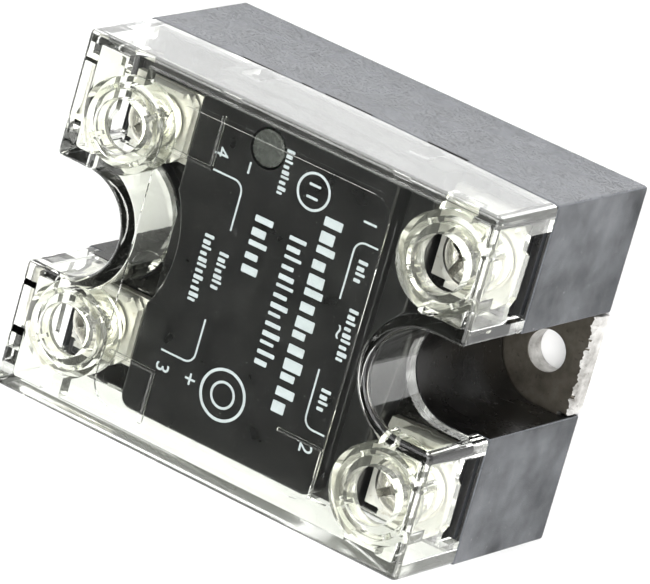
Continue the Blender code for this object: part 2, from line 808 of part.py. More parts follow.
black_plastic = material("black_plastic", (0.025, 0.025, 0.027), 0.55)
clear_plastic = material("clear_plastic", (0.93, 0.94, 0.86), 0.06, transmission=1.0, ior=1.58)
frosted_plastic = material("frosted_plastic", (0.30, 0.31, 0.30), 0.45, transmission=0.3)
red_plastic = material("red_plastic", (0.60, 0.04, 0.03), 0.25, transmission=0.3)
nickel = material("nickel", (0.78, 0.76, 0.70), 0.22, metallic=1.0)
aluminium = material("aluminium", (0.62, 0.60, 0.56), 0.40, metallic=1.0)
steel = material("steel", (0.55, 0.54, 0.52), 0.38, metallic=1.0)
copper = material("copper", (0.75, 0.38, 0.22), 0.30, metallic=1.0)
alumina = material("alumina", (0.86, 0.85, 0.80), 0.60)
silicon = material("silicon", (0.16, 0.17, 0.20), 0.15, metallic=0.6)
fibreglass = material("fibreglass", (0.05, 0.20, 0.09), 0.45)
capacitor_case = material("capacitor_case", (0.50, 0.34, 0.06), 0.40)
resistor_body = material("resistor_body", (0.42, 0.50, 0.55), 0.50)
resin = material("resin", (0.035, 0.035, 0.04), 0.30)

base_plate()
housing()
clear_cover()
for terminal in TERMINALS:
    lug(terminal)
    clamp_plate(terminal)
    terminal_screw(terminal)
    captive_nut(terminal)
power_stage()
control_board()
optocoupler()
snubber_capacitor()
axial_resistor("snubber_resistor", SNUBBER_AT, SNUBBER_HALF, SNUBBER_R)
axial_resistor("input_resistor", INPUT_RESISTOR_AT, INPUT_RESISTOR_HALF, INPUT_RESISTOR_R)
status_light()
potting_compound()
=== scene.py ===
"""Looks of a panel-mount solid state relay: a black potted housing on a metal plate, with four
screw terminals under a clear cover. Shapes are drawn in millimetres and scaled when placed."""

from collections import namedtuple
from math import acos, cos, degrees, pi, radians, sin

import bmesh
import bpy
from mathutils import Matrix, Vector


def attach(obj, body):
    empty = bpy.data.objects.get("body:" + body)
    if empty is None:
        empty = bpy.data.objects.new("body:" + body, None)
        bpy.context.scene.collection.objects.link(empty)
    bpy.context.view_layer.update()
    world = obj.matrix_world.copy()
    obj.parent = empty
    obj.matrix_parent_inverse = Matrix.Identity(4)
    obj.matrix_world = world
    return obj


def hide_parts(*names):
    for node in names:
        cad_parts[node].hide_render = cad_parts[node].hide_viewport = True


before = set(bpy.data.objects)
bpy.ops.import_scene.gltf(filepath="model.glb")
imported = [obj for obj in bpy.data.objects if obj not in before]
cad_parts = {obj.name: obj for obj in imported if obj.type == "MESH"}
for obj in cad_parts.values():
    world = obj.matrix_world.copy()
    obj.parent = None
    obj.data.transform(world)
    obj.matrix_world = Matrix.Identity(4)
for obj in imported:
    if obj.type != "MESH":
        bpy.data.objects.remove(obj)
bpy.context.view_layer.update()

MM = 0.001


# ---- camera and stage
TARGET = Vector((0.85, -0.57, 16.0)) * MM
EYE = Vector((362.86, 239.86, 671.30)) * MM
ROLL = radians(-102.91)
LENS_MM = 376.07
SENSOR_MM = 36.0
CLIP = (0.01, 20.0)

SOFTBOX_DISTANCE = 1.0
SOFTBOXES = (
    # name, azimuth, elevation, side in metres, watts
    ("key", 50, 62, 0.9, 10.2),
    ("fill", -20, 58, 0.8, 6.4),
    ("left", 120, 52, 0.7, 4.4),
)
FLOOR_REACH = 3.0

# The sky's strength near the floor, overhead, and as a share of that behind the dark card.
SKY_LOW, SKY_HIGH, CARD_SHADE = 1.15, 0.42, 0.06
CARD_WAY = (-0.461, -0.306, 0.835)


def linked(name, data):
    obj = bpy.data.objects.new(name, data)
    bpy.context.scene.collection.objects.link(obj)
    return obj


def camera():
    data = bpy.data.cameras.new("camera")
    data.lens = LENS_MM
    data.sensor_width = SENSOR_MM
    data.clip_start, data.clip_end = CLIP
    obj = linked("camera", data)
    back = (EYE - TARGET).normalized()
    across = Vector((0, 0, 1)).cross(back).normalized()
    above = back.cross(across)
    right = cos(ROLL) * across + sin(ROLL) * above
    up = cos(ROLL) * above - sin(ROLL) * across
    turn = Matrix((right, up, back)).transposed().to_4x4()
    obj.matrix_world = Matrix.Translation(EYE) @ turn
    bpy.context.scene.camera = obj


def softbox(name, azimuth, elevation, side, watts):
    """A square area light aimed at the relay from a direction given in degrees."""
    data = bpy.data.lights.new(name, "AREA")
    data.shape = "SQUARE"
    data.size = side
    data.energy = watts
    obj = linked(name, data)
    a, e = radians(azimuth), radians(elevation)
    way = Vector((cos(a) * cos(e), sin(a) * cos(e), sin(e)))
    obj.location = TARGET + way * SOFTBOX_DISTANCE
    obj.rotation_euler = way.to_track_quat("Z", "Y").to_euler()


def world_light():
    """A plain sky, brighter near the floor, with a dark card that flat tops mirror."""
    world = bpy.data.worlds.new("studio")
    world.use_nodes = True
    tree = world.node_tree
    way = node(tree, "TexCoord").outputs["Generated"]
    height = node(tree, "SeparateXYZ", {"Vector": way}).outputs["Z"]
    level = span(tree, height, SKY_LOW, SKY_HIGH, start=0.32, end=0.60)
    facing = node(tree, "VectorMath", {0: way, 1: CARD_WAY}, operation="DOT_PRODUCT")
    shade = span(tree, facing.outputs["Value"], 1.0, CARD_SHADE, start=0.62, end=0.86)
    level = maths(tree, "MULTIPLY", level, shade)
    tree.links.new(level, tree.nodes["Background"].inputs["Strength"])
    tree.nodes["Background"].inputs["Color"].default_value = (1.0, 1.0, 1.0, 1.0)
    bpy.context.scene.world = world


def floor_plane():
    r = FLOOR_REACH
    plane = shape([(-r, -r, 0), (r, -r, 0), (r, r, 0), (-r, r, 0)], [(0, 1, 2, 3)])
    plane.name = "studio_floor"
    plane.data.materials.append(paper_floor())
    return plane


# ---- node helpers
def node(tree, kind, inputs=None, **settings):
    """A shader node with its settings made and each input linked to a socket or set."""
    made = tree.nodes.new("ShaderNode" + kind)
    for key, value in settings.items():
        setattr(made, key, value)
    for key, value in (inputs or {}).items():
        if isinstance(value, bpy.types.NodeSocket):
            tree.links.new(value, made.inputs[key])
        else:
            made.inputs[key].default_value = value
    return made


def place(tree, scale=(1, 1, 1), turn=(0, 0, 0)):
    """Object coordinates in millimetres, turned by degrees and then scaled."""
    source = node(tree, "TexCoord").outputs["Object"]
    turned = {"Vector": source, "Rotation": tuple(radians(t) for t in turn)}
    aimed = node(tree, "Mapping", turned).outputs["Vector"]
    sized = {"Vector": aimed, "Scale": tuple(s / MM for s in scale)}
    return node(tree, "Mapping", sized).outputs["Vector"]


def noise(tree, vector, scale, detail=4.0, rough=0.55):
    """Noise whose scale is in features per millimetre."""
    inputs = {"Vector": vector, "Scale": scale, "Detail": detail, "Roughness": rough}
    return node(tree, "TexNoise", inputs).outputs["Fac"]


def span(tree, value, low, high, start=0.3, end=0.7):
    """Maps start..end of a value to low..high, held at both ends."""
    inputs = {"Value": value, "From Min": start, "From Max": end, "To Min": low, "To Max": high}
    return node(tree, "MapRange", inputs).outputs["Result"]


def maths(tree, operation, a, b):
    made = node(tree, "Math", {0: a, 1: b}, operation=operation)
    return made.outputs["Value"]


def mixed(tree, amount, a, b):
    """A mix of two colours, as sockets or rgb: the node's inputs 6 and 7 and its output 2."""
    made = node(tree, "Mix", {"Factor": amount}, data_type="RGBA")
    for index, colour in ((6, a), (7, b)):
        if isinstance(colour, bpy.types.NodeSocket):
            tree.links.new(colour, made.inputs[index])
        else:
            made.inputs[index].default_value = (*colour, 1.0)
    return made.outputs[2]


def bump(tree, height, strength, depth_mm, under=None):
    """The normal for a height, on top of an earlier bump if one is given."""
    inputs = {"Height": height, "Strength": strength, "Distance": depth_mm * MM}
    if under:
        inputs["Normal"] = under
    return node(tree, "Bump", inputs).outputs["Normal"]


def edges(tree, reach_mm):
    """1 near a convex or concave edge, 0 on open faces."""
    soft = node(tree, "Bevel", {"Radius": reach_mm * MM}, samples=4).outputs["Normal"]
    plain = node(tree, "NewGeometry").outputs["Normal"]
    dot = node(tree, "VectorMath", {0: soft, 1: plain}, operation="DOT_PRODUCT")
    return span(tree, dot.outputs["Value"], 1.0, 0.0, start=0.75, end=0.995)


def new_material(name):
    made = bpy.data.materials.new(name)
    made.use_nodes = True
    tree = made.node_tree
    return made, tree, tree.nodes["Principled BSDF"]


def join_up(tree, shader, colour, rough, normal=None):
    """Links the sockets that vary over the surface."""
    for key, value in (("Base Color", colour), ("Roughness", rough), ("Normal", normal)):
        if value is not None:
            tree.links.new(value, shader.inputs[key])


# ---- materials
SCUFF_GREY = (0.16, 0.165, 0.175)
DUST_GREY = (0.42, 0.42, 0.42)
WORN_GREY = (0.11, 0.11, 0.12)
PIT_BLACK = (0.004, 0.004, 0.005)
SCUFF_WAYS = (((0.16, 3.4, 3.4), (20, 48, 12)), ((0.1, 2.6, 2.6), (-35, -40, 30)))
CLEAR_IOR = 1.5
SHADOW_TINT = (0.93, 0.94, 0.90, 1.0)


def moulded_black(
    name, dark, light, rough, grain, gloss=0.5, scuffs=0.0, dust=0.0, wear=0.0, pits=0.0,
    broad_scale=0.22,
):
    """Moulded plastic: mottled colour, spark-eroded grain, and optional scuffs, dust, worn edges
    and fine pits drawn out along X. Each option is an amount from 0 to 1."""
    made, tree, shader = new_material(name)
    shader.inputs["Specular IOR Level"].default_value = gloss
    here = place(tree)
    broad = noise(tree, here, broad_scale, 5.0)
    fine = noise(tree, here, 5.5, 3.0, 0.6)
    colour = mixed(tree, span(tree, broad, 0.0, 1.0), dark, light)
    roughness = span(tree, broad, rough[0], rough[1])
    normal = bump(tree, fine, grain, 0.03)
    if scuffs:
        drawn = [noise(tree, place(tree, *way), 1.0, 3.0, 0.65) for way in SCUFF_WAYS]
        lines = maths(tree, "MAXIMUM", *[span(tree, each, 0.0, 1.0, 0.6, 0.74) for each in drawn])
        patch = span(tree, noise(tree, here, 0.12, 3.0), 0.0, scuffs, 0.38, 0.66)
        lines = maths(tree, "MULTIPLY", lines, patch)
        colour = mixed(tree, lines, colour, SCUFF_GREY)
        roughness = maths(tree, "ADD", roughness, maths(tree, "MULTIPLY", lines, 0.2))
    if pits:
        drawn = noise(tree, place(tree, (0.5, 1.6, 1.6), (0, 3, 3)), 4.6, 4.0, 0.75)
        crowd = span(tree, noise(tree, here, 0.3, 3.0), 0.35, 1.0, 0.35, 0.6)
        holes = maths(tree, "MULTIPLY", span(tree, drawn, 0.0, 0.9, 0.50, 0.66), crowd)
        colour = mixed(tree, holes, colour, PIT_BLACK)
        roughness = maths(tree, "ADD", roughness, maths(tree, "MULTIPLY", holes, pits))
        normal = bump(tree, holes, 1.0, -0.1, normal)
    if dust:
        specks = span(tree, noise(tree, here, 3.1, 1.0, 0.4), 0.0, dust, 0.765, 0.80)
        colour = mixed(tree, specks, colour, DUST_GREY)
    if wear:
        rim = maths(tree, "MULTIPLY", edges(tree, 0.35), span(tree, fine, 0.0, wear, 0.35, 0.62))
        colour = mixed(tree, rim, colour, WORN_GREY)
    normal = bump(tree, noise(tree, here, 0.35, 2.0), 0.12, 0.12, normal)
    join_up(tree, shader, colour, roughness, normal)
    return made


def clear(name, tint, rough, haze, clarity=1.0):
    """Clear moulded plastic with flow marks, fine scratches and grime. Its shadow is only tinted:
    lamps reach what is under it straight through."""
    made, tree, shader = new_material(name)
    shader.inputs["Transmission Weight"].default_value = clarity
    shader.inputs["IOR"].default_value = CLEAR_IOR
    here = place(tree)
    flow = noise(tree, place(tree, (0.5, 0.16, 0.5)), 0.55, 2.0)
    colour = mixed(tree, span(tree, flow, 0.0, 1.0), tint[0], tint[1])
    marks = noise(tree, place(tree, (0.3, 4.5, 4.5), (0, 0, 35)), 0.8, 3.0, 0.7)
    marks = span(tree, marks, 0.0, haze, 0.64, 0.76)
    grime = span(tree, noise(tree, here, 0.9, 4.0), rough[0], rough[1], 0.4, 0.75)
    roughness = maths(tree, "ADD", grime, marks)
    normal = bump(tree, flow, 0.05, 0.25)
    normal = bump(tree, noise(tree, here, 2.4, 3.0), 0.02, 0.05, normal)
    join_up(tree, shader, colour, roughness, normal)
    passing = node(tree, "BsdfTransparent", {"Color": SHADOW_TINT})
    seen_by = node(tree, "LightPath").outputs["Is Shadow Ray"]
    either = node(tree, "MixShader", {0: seen_by, 1: shader.outputs["BSDF"]})
    tree.links.new(passing.outputs["BSDF"], either.inputs[2])
    tree.links.new(either.outputs["Shader"], tree.nodes["Material Output"].inputs["Surface"])
    return made


def metal(name, dark, light, rough, grain, scratch=0.3, brush=(1, 1, 1), spots=None):
    """Plated or bare metal: brushed, scratched, with optional tarnish spots."""
    made, tree, shader = new_material(name)
    shader.inputs["Metallic"].default_value = 1.0
    here = place(tree)
    broad = noise(tree, here, 0.5, 4.0)
    drawn = noise(tree, place(tree, brush), 3.0, 5.0, 0.65)
    colour = mixed(tree, span(tree, broad, 0.0, 1.0), dark, light)
    if spots:
        stain = span(tree, noise(tree, here, 1.3, 5.0, 0.7), 0.0, 0.85, 0.60, 0.72)
        colour = mixed(tree, stain, colour, spots)
    roughness = span(tree, drawn, rough[0], rough[1])
    lines = noise(tree, place(tree, (0.4, 9.0, 9.0), (10, 25, 40)), 1.0, 2.0, 0.6)
    lines = span(tree, lines, 0.0, 1.0, 0.66, 0.74)
    roughness = maths(tree, "ADD", roughness, maths(tree, "MULTIPLY", lines, 0.15))
    normal = bump(tree, drawn, grain, 0.02)
    normal = bump(tree, lines, scratch, 0.01, normal)
    join_up(tree, shader, colour, roughness, normal)
    return made


def speckled(name, base, fleck, rough, scale, grain, transmission=0.0):
    """Ceramic, lacquer, ink or a lens, with flecks of a second colour."""
    made, tree, shader = new_material(name)
    shader.inputs["Transmission Weight"].default_value = transmission
    here = place(tree)
    flecks = span(tree, noise(tree, here, scale, 5.0, 0.65), 0.0, 0.8, 0.48, 0.72)
    broad = span(tree, noise(tree, here, scale * 0.2, 3.0), 0.0, 0.45)
    colour = mixed(tree, maths(tree, "MAXIMUM", flecks, broad), base, fleck)
    roughness = span(tree, noise(tree, here, scale * 0.6, 4.0), rough[0], rough[1])
    normal = bump(tree, noise(tree, here, scale * 2.0, 3.0), grain, 0.02)
    join_up(tree, shader, colour, roughness, normal)
    return made


def paper_floor():
    made, tree, shader = new_material("studio_floor")
    here = place(tree)
    soft = noise(tree, here, 0.02, 3.0)
    colour = mixed(tree, span(tree, soft, 0.0, 1.0), (0.93, 0.93, 0.93), (0.95, 0.95, 0.95))
    join_up(tree, shader, colour, span(tree, soft, 0.7, 0.8))
    shader.inputs["Specular IOR Level"].default_value = 0.2
    return made


# ---- mesh helpers
WELD = 1e-4
FLAT_DEGREES = 0.5


def shape(verts, faces):
    """An object from points and faces, with its faces turned outwards."""
    mesh = bpy.data.meshes.new("shape")
    mesh.from_pydata(verts, [], faces)
    made = bmesh.new()
    made.from_mesh(mesh)
    bmesh.ops.recalc_face_normals(made, faces=made.faces)
    made.to_mesh(mesh)
    made.free()
    return linked("shape", mesh)


def extruded(points, low, high, put):
    """A closed outline swept between two depths. put(a, b, depth) says where a point goes."""
    count = len(points)
    verts = [put(a, b, low) for a, b in points] + [put(a, b, high) for a, b in points]
    faces = [tuple(range(count)), tuple(range(2 * count - 1, count - 1, -1))]
    for i in range(count):
        j = (i + 1) % count
        faces.append((i, j, count + j, count + i))
    return shape(verts, faces)


def prism(points, z0, z1):
    return extruded(points, z0, z1, lambda a, b, depth: (a, b, depth))


def along_x(points, x0, x1):
    return extruded(points, x0, x1, lambda a, b, depth: (depth, a, b))


def along_y(points, y0, y1):
    return extruded(points, y0, y1, lambda a, b, depth: (a, depth, b))


def box(x, y, z):
    """A block from three (low, high) pairs in either order."""
    (x0, x1), (y0, y1), (z0, z1) = sorted(x), sorted(y), sorted(z)
    return prism([(x0, y0), (x1, y0), (x1, y1), (x0, y1)], z0, z1)


def lathe(x, y, profile, steps=48):
    """A solid of revolution. The profile of (r, z) is closed, or starts and ends on the axis."""
    verts, rings = [], []
    for r, z in profile:
        if r == 0:
            rings.append([len(verts)] * steps)
            verts.append((x, y, z))
        else:
            rings.append([len(verts) + i for i in range(steps)])
            for i in range(steps):
                a = 2 * pi * i / steps
                verts.append((x + r * cos(a), y + r * sin(a), z))
    faces = []
    pairs = list(zip(rings, rings[1:]))
    if profile[0][0] > 0:
        pairs.append((rings[-1], rings[0]))
    for first, second in pairs:
        for i in range(steps):
            j = (i + 1) % steps
            ring = list(dict.fromkeys((first[i], first[j], second[j], second[i])))
            if len(ring) > 2:
                faces.append(ring)
    return shape(verts, faces)


def cylinder(x, y, z0, z1, r, steps):
    return lathe(x, y, [(0, z0), (r, z0), (r, z1), (0, z1)], steps)


def arc(cx, cy, r, start, end, steps):
    """Points on a circle from one angle to another, in degrees."""
    turns = [radians(start + (end - start) * i / steps) for i in range(steps + 1)]
    return [(cx + r * cos(t), cy + r * sin(t)) for t in turns]


def rounded(x0, y0, x1, y1, r, steps):
    """A rectangle with rounded corners."""
    points = arc(x1 - r, y1 - r, r, 0, 90, steps)
    points += arc(x0 + r, y1 - r, r, 90, 180, steps)
    points += arc(x0 + r, y0 + r, r, 180, 270, steps)
    return points + arc(x1 - r, y0 + r, r, 270, 360, steps)


def evaluated_mesh(obj):
    bpy.context.view_layer.update()
    graph = bpy.context.evaluated_depsgraph_get()
    return bpy.data.meshes.new_from_object(obj.evaluated_get(graph))


def settled(obj):
    """Replaces an object's mesh with what its modifiers make of it."""
    mesh = evaluated_mesh(obj)
    obj.modifiers.clear()
    obj.data = mesh
    return obj


def cleaned(obj):
    """Welds doubled points and merges the flat faces that a boolean leaves in pieces."""
    made = bmesh.new()
    made.from_mesh(obj.data)
    bmesh.ops.remove_doubles(made, verts=made.verts, dist=WELD)
    bmesh.ops.dissolve_degenerate(made, edges=made.edges, dist=WELD)
    flat = radians(FLAT_DEGREES)
    bmesh.ops.dissolve_limit(
        made, angle_limit=flat, verts=made.verts, edges=made.edges, delimit={"MATERIAL"}
    )
    made.to_mesh(obj.data)
    made.free()
    return obj


def combined(obj, others, operation):
    """The object joined with, or cut by, a list of others, which are used up."""
    holder = bpy.data.collections.new("operands")
    bpy.context.scene.collection.children.link(holder)
    for other in others:
        bpy.context.scene.collection.objects.unlink(other)
        holder.objects.link(other)
    modifier = obj.modifiers.new("Boolean", "BOOLEAN")
    modifier.operation = operation
    modifier.solver = "EXACT"
    modifier.operand_type = "COLLECTION"
    modifier.collection = holder
    settled(obj)
    for other in others:
        bpy.data.objects.remove(other)
    bpy.data.collections.remove(holder)
    return cleaned(obj)


def joined(obj, *others):
    return combined(obj, others, "UNION")


def cut(obj, *others):
    return combined(obj, others, "DIFFERENCE")


def bevelled(obj, width, segments=2, angle=35):
    modifier = obj.modifiers.new("Bevel", "BEVEL")
    modifier.width = width
    modifier.segments = segments
    modifier.limit_method = "ANGLE"
    modifier.angle_limit = radians(angle)
    return settled(obj)


def merged(objects):
    """Several separate shapes as one object."""
    made = bmesh.new()
    for obj in objects:
        made.from_mesh(obj.data)
        bpy.data.objects.remove(obj)
    mesh = bpy.data.meshes.new("merged")
    made.to_mesh(mesh)
    made.free()
    return linked("merged", mesh)


def piece(obj, name, look, node_name, body="relay_base", sharp=34, choose=None):
    """Gives a shape its name, finish, body and the CAD node it replaces, at real size. Where there
    are several looks, choose says which one a face takes."""
    obj.data.transform(Matrix.Scale(MM, 4))
    obj.name = obj.data.name = name
    obj.data.materials.clear()
    looks = look if isinstance(look, tuple) else (look,)
    for each in looks:
        obj.data.materials.append(each)
    for face in obj.data.polygons:
        face.use_smooth = True
        face.material_index = choose(face) if choose else 0
    obj.data.set_sharp_from_angle(angle=radians(sharp))
    even = obj.modifiers.new("Normals", "WEIGHTED_NORMAL")
    even.keep_sharp = True
    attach(obj, body)
    if node_name:
        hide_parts(node_name)


# ---- sizes, in millimetres
HALF_X, HALF_Y, TOP_Z = 29.1, 22.4, 32.8
SEAM_Z, DECK_Z, RIM_Z, SHELF_Z, PLATEAU_Z = 20.1, 20.6, 22.0, 24.0, 27.0
NOTCH_X, NOTCH_R = 24.6, 6.5
ENDS = SIDES = (-1, 1)
PAST = 3  # how far cutters run past the outside

# Housing: its wall, how far its deck is set in, the pocket for the inside parts and the one for
# the plate, the terminals' bosses and wells as half widths, and the raised parts.
WALL = 1.6
DECK_INSET = 1.9
INNER_X, INNER_Y, INNER_TOP = 27.5, 20.8, 18.6
RECESS_X, RECESS_Y, RECESS_TOP = 27.9, 21.2, 3.3
BOSS, WELL, NUT = 5.2, 3.8, 3.5
SHELF_X = 16.2
PLATEAU_X, PLATEAU_Y, PLATEAU_CORNER = (-15.2, 12.8), 20, 1.6
WAIST_X, WAIST_R = -27.6, 14.3
SLOTS = ((-16.3, -10.0), (-8.0, -6.5), (-4.7, 2.0), (10.0, 15.8))

# The line between housing and cover: level at the ends, and lower by SEAM_SAG at SEAM_LOW_X.
SEAM_END, SEAM_SAG = 20.25, 1.15
SEAM_LOW_X, SEAM_REACH = -1, 28.0

# Cover: its wall, and how far under its top face the collars end inside it.
COVER_T = 1.5
ROOTED = 0.6
CATCH_X = 12
NUB_TURNS = (35, 125, 215, 305)

# Terminals: the turn of each screw in degrees, how far a lug reaches from its screw at each end,
# and the half widths of its leg and of the slot for it.
SPIN = {1: 60, 2: 35, 3: 20, 4: 50}
LUG_IN = {1: 6.3, -1: 5.3}
LUG_OUT = {1: 2.9, -1: 4.9}
LUG_TOP, LUG_LEG, LUG_SLOT = 22.1, 2.6, 2.9
CLAMP_Z, CLAMP_T = 22.4, 1.2
HEAD_Z, HEAD_TOP = 23.9, 26.6
THREAD_DEPTH = 0.22

# Inside: the plate, the gates, the board, and where parts stand on it.
PLATE_T = 3.0
GATE_X, GATE_Y = 4.4, 9.9
BOARD_Z = (13.6, 15.2)
BURIED_Z = 15.1
STAND_Z = 15.5
LENS_X, LENS_Y = -5.0, 16.4
TRACES = (
    # x0, x1, y0, y1
    (-14.6, -3.0, -5.6, -5.0), (-14.6, -14.0, -5.6, 9.0),
    (-11.0, -2.4, 5.4, 6.0), (-3.0, -2.4, 6.0, 9.4),
    (2.0, 9.6, -2.4, -1.6), (9.0, 9.6, -15.4, -1.6),
    (-1.2, 6.8, 14.6, 15.2), (6.2, 6.8, 7.6, 15.2),
)
SOLDERED = ((-14.3, 9.4), (-2.6, -5.3), (9.3, -16.0), (-1.6, 14.9), (6.5, 7.2), (2.2, -2.0))
CHIPS = ((-2.0, 10.2), (-2.0, 12.6), (7.6, 11.4), (-13.4, 3.2))
COLOUR_BANDS = (-0.75, -0.3, 0.0, 0.3, 0.75)

Terminal = namedtuple(
    "Terminal", "number x y end side head_r shank_r pitch outer_r groove_r inner_r hole_r half_y"
)
OUTPUT = (3.8, 2.0, 0.7, 6.05, 5.25, 4.6, 3.5, 5.0)
INPUT = (3.4, 1.75, 0.6, 5.75, 4.95, 4.3, 3.3, 4.3)
TERMINALS = (
    Terminal(1, 22.9, 14.3, 1, 1, *OUTPUT),
    Terminal(2, 22.9, -14.3, 1, -1, *OUTPUT),
    Terminal(3, -22.0, -12.8, -1, -1, *INPUT),
    Terminal(4, -22.0, 12.8, -1, 1, *INPUT),
)


def seam(x):
    """Height of the line between housing and cover, which bows down on the long sides."""
    return SEAM_END - SEAM_SAG * (1 - min(1, abs(x - SEAM_LOW_X) / SEAM_REACH) ** 1.5)


def seam_line(reach, lift, steps=36):
    """Points on the seam from x = reach back to -reach, moved up by lift."""
    line = [reach - 2 * reach * i / steps for i in range(steps + 1)]
    return [(x, seam(x) + lift) for x in line]


def notch(end, r, z0, z1, reach=HALF_X + PAST, steps=40):
    """The shape of one end's notch: straight sides from x = reach to a half round at NOTCH_X."""
    points = [(reach, r)] + arc(NOTCH_X, 0, r, 90, 270, steps) + [(reach, -r)]
    return prism([(end * x, y) for x, y in points], z0, z1)


def notches(r, z0=-2, z1=40):
    """Cutters for both ends' notches, right through unless heights are given."""
    return [notch(end, r, z0, z1) for end in ENDS]


def around(middle, half):
    return (middle - half, middle + half)


def about(t, angle):
    """A turn from the origin's axes to a screw's, by an angle in degrees."""
    return Matrix.Translation((t.x, t.y, 0)) @ Matrix.Rotation(radians(angle), 4, "Z")


# ---- housing
def plateau():
    """The raised label area: rounded corners, and an end that curves round the input notch."""
    (x0, x1), y, r = PLATEAU_X, PLATEAU_Y, PLATEAU_CORNER
    plan = rounded(x0, -y, x1, y, r, 6)
    middle = len(plan) // 2
    half = degrees(acos((x0 - WAIST_X) / WAIST_R))
    plan[middle:middle] = arc(WAIST_X, 0, WAIST_R, half, -half, 20)
    return bevelled(prism(plan, 22, PLATEAU_Z), 0.45, 3)


def housing():
    deck_x = HALF_X - DECK_INSET
    deck_y = HALF_Y - DECK_INSET
    outline = [(-HALF_X, 0.2), (HALF_X, 0.2)] + seam_line(HALF_X, -0.05)
    body = along_y(outline, -HALF_Y, HALF_Y)
    cut(body, *notches(NOTCH_R))
    bevelled(body, 0.35, 3, 40)
    upper = [box((-deck_x, deck_x), (-deck_y, deck_y), (15, DECK_Z))]
    shelf = box((-SHELF_X, SHELF_X), (-deck_y, deck_y), (19, SHELF_Z))
    upper.append(bevelled(shelf, 0.35, 2))
    upper.append(plateau())
    for end in ENDS:
        upper.append(notch(end, NOTCH_R + WALL, 19, RIM_Z, reach=deck_x))
    for t in TERMINALS:
        sill_x = (t.end * deck_x, t.end * (deck_x - 1.3))
        sill = box(sill_x, (t.side * 8.3, t.side * 19.4), (18, 21.1))
        upper.append(bevelled(sill, 0.4, 3))
    low, high, root = 21.6, 22.8, deck_y - 1
    wedge = [(root, low), (deck_y + 0.8, low), (deck_y + 0.25, high), (root, high)]
    for end in ENDS:
        for side in SIDES:
            catch = [(side * y, z) for y, z in wedge]
            upper.append(along_x(catch, *around(end * CATCH_X, 0.9)))
    joined(body, *upper)
    inner = box((-INNER_X, INNER_X), (-INNER_Y, INNER_Y), (-1, INNER_TOP))
    cut(inner, *notches(NOTCH_R + WALL))
    cutters = notches(NOTCH_R) + [inner]
    cutters.append(box((-11.7, 11.2), (-18.4, 18.4), (17.6, 25.4)))
    cutters.append(box((-RECESS_X, RECESS_X), (-RECESS_Y, RECESS_Y), (-1, RECESS_TOP)))
    for t in TERMINALS:
        ledge = (t.end * 28.15, t.end * 28.6)
        cutters.append(box(ledge, (t.side * 8.6, t.side * 19.3), (19.3, 20.8)))
    for side in SIDES:
        y = (side * (HALF_Y - 0.9), side * (HALF_Y + 1))
        for x0, x1 in SLOTS:
            cutters.append(box((x0, x1), y, (seam(x0) - 0.42, SEAM_Z + 0.3)))
    cut(body, *cutters)
    bosses, wells = [], []
    for t in TERMINALS:
        bosses.append(box(around(t.x, BOSS), around(t.y, BOSS), (15.2, 19.6)))
        wells.append(box(around(t.x, WELL), around(t.y, WELL), (17.0, 22)))
        wells.append(cylinder(t.x, t.y, 16.0, 17.3, t.shank_r + 0.6, 32))
        leg_in = LUG_IN[t.end]
        leg = (t.x - t.end * (leg_in + 0.25), t.x - t.end * (leg_in - 1.3))
        wells.append(box(leg, around(t.y, LUG_SLOT), (14.2, 22)))
    joined(body, *bosses)
    wells.append(cylinder(LENS_X, LENS_Y, 20.6, 28, 2.5, 40))
    cut(body, *wells)

    # The housing's one black plastic is split by facing into lit and shaded copies, which is
    # painted light. The long sides take a lighter, glossier copy (painted sheen) and the ends a
    # darker one (painted shade). The notch walls take a near-black one (painted shade in the
    # notch), and so do the deck above the seam and every level face (painted shade).
    def choose(face):
        x, y, z = face.center / MM
        if abs(x) < NOTCH_X:
            in_notch = ((abs(x) - NOTCH_X) ** 2 + y * y) ** 0.5 < NOTCH_R + 0.1
        else:
            in_notch = abs(y) < NOTCH_R + 0.1
        if in_notch:
            return 2
        if z > SEAM_Z + 0.3 or abs(face.normal.z) > 0.8:
            return 3
        return 1 if abs(face.normal.x) > 0.8 else 0

    looks = (side_lit_black, end_shaded_black, notch_shade_black, level_and_deck_shade_black)
    piece(body, "relay_housing", looks, "housing", sharp=30, choose=choose)


# ---- cover
def wire_window(t):
    """A cutter for the opening in the cover's end: a low middle between two taller wings."""
    low = 10
    opening = [(8.4, low), (8.4, 24.7), (10.6, 25.0), (11.6, 24.0)]
    opening += [(16.7, 23.8), (17.4, 24.9), (19.3, 24.9), (19.3, low)]
    opening = [(t.side * y, z) for y, z in opening]
    x0, x1 = sorted((t.end * (HALF_X + 1), t.end * (HALF_X - COVER_T - 0.6)))
    return along_x(opening, x0, x1)


def tube(t, outer_r, inner_r, z0, z1):
    return lathe(t.x, t.y, [(outer_r, z1), (outer_r, z0), (inner_r, z0), (inner_r, z1)], 80)


def collar(t):
    """A screw's collar: two rings joined by four nubs, with webs to the side and notch walls."""
    top = TOP_Z - ROOTED
    parts = [tube(t, t.outer_r, t.groove_r, 28.3, top)]
    parts.append(tube(t, t.inner_r, t.hole_r - 0.3, 29.9, top))
    for turn in NUB_TURNS:
        nub = box((t.inner_r - 0.2, t.groove_r + 0.2), (-0.3, 0.3), (30.2, top))
        nub.data.transform(about(t, turn))
        parts.append(nub)
    wall_y = t.side * (HALF_Y - COVER_T + 0.4)
    start = t.y + t.side * (t.outer_r - 0.3)
    half = 2.2 if t.end > 0 else 1.4
    parts.append(box(around(t.x, half), (start, wall_y), (29.4, top)))
    notch_y = t.side * (NOTCH_R + 0.9)
    start = t.y - t.side * (t.outer_r - 0.3)
    if t.end > 0:
        for x in (t.x - 0.9, t.x + 0.6):
            parts.append(box(around(x, 0.35), (start, notch_y), (29.2, top)))
    else:
        parts.append(box(around(t.x, 1.6), (start, notch_y), (29.0, top)))
    return parts


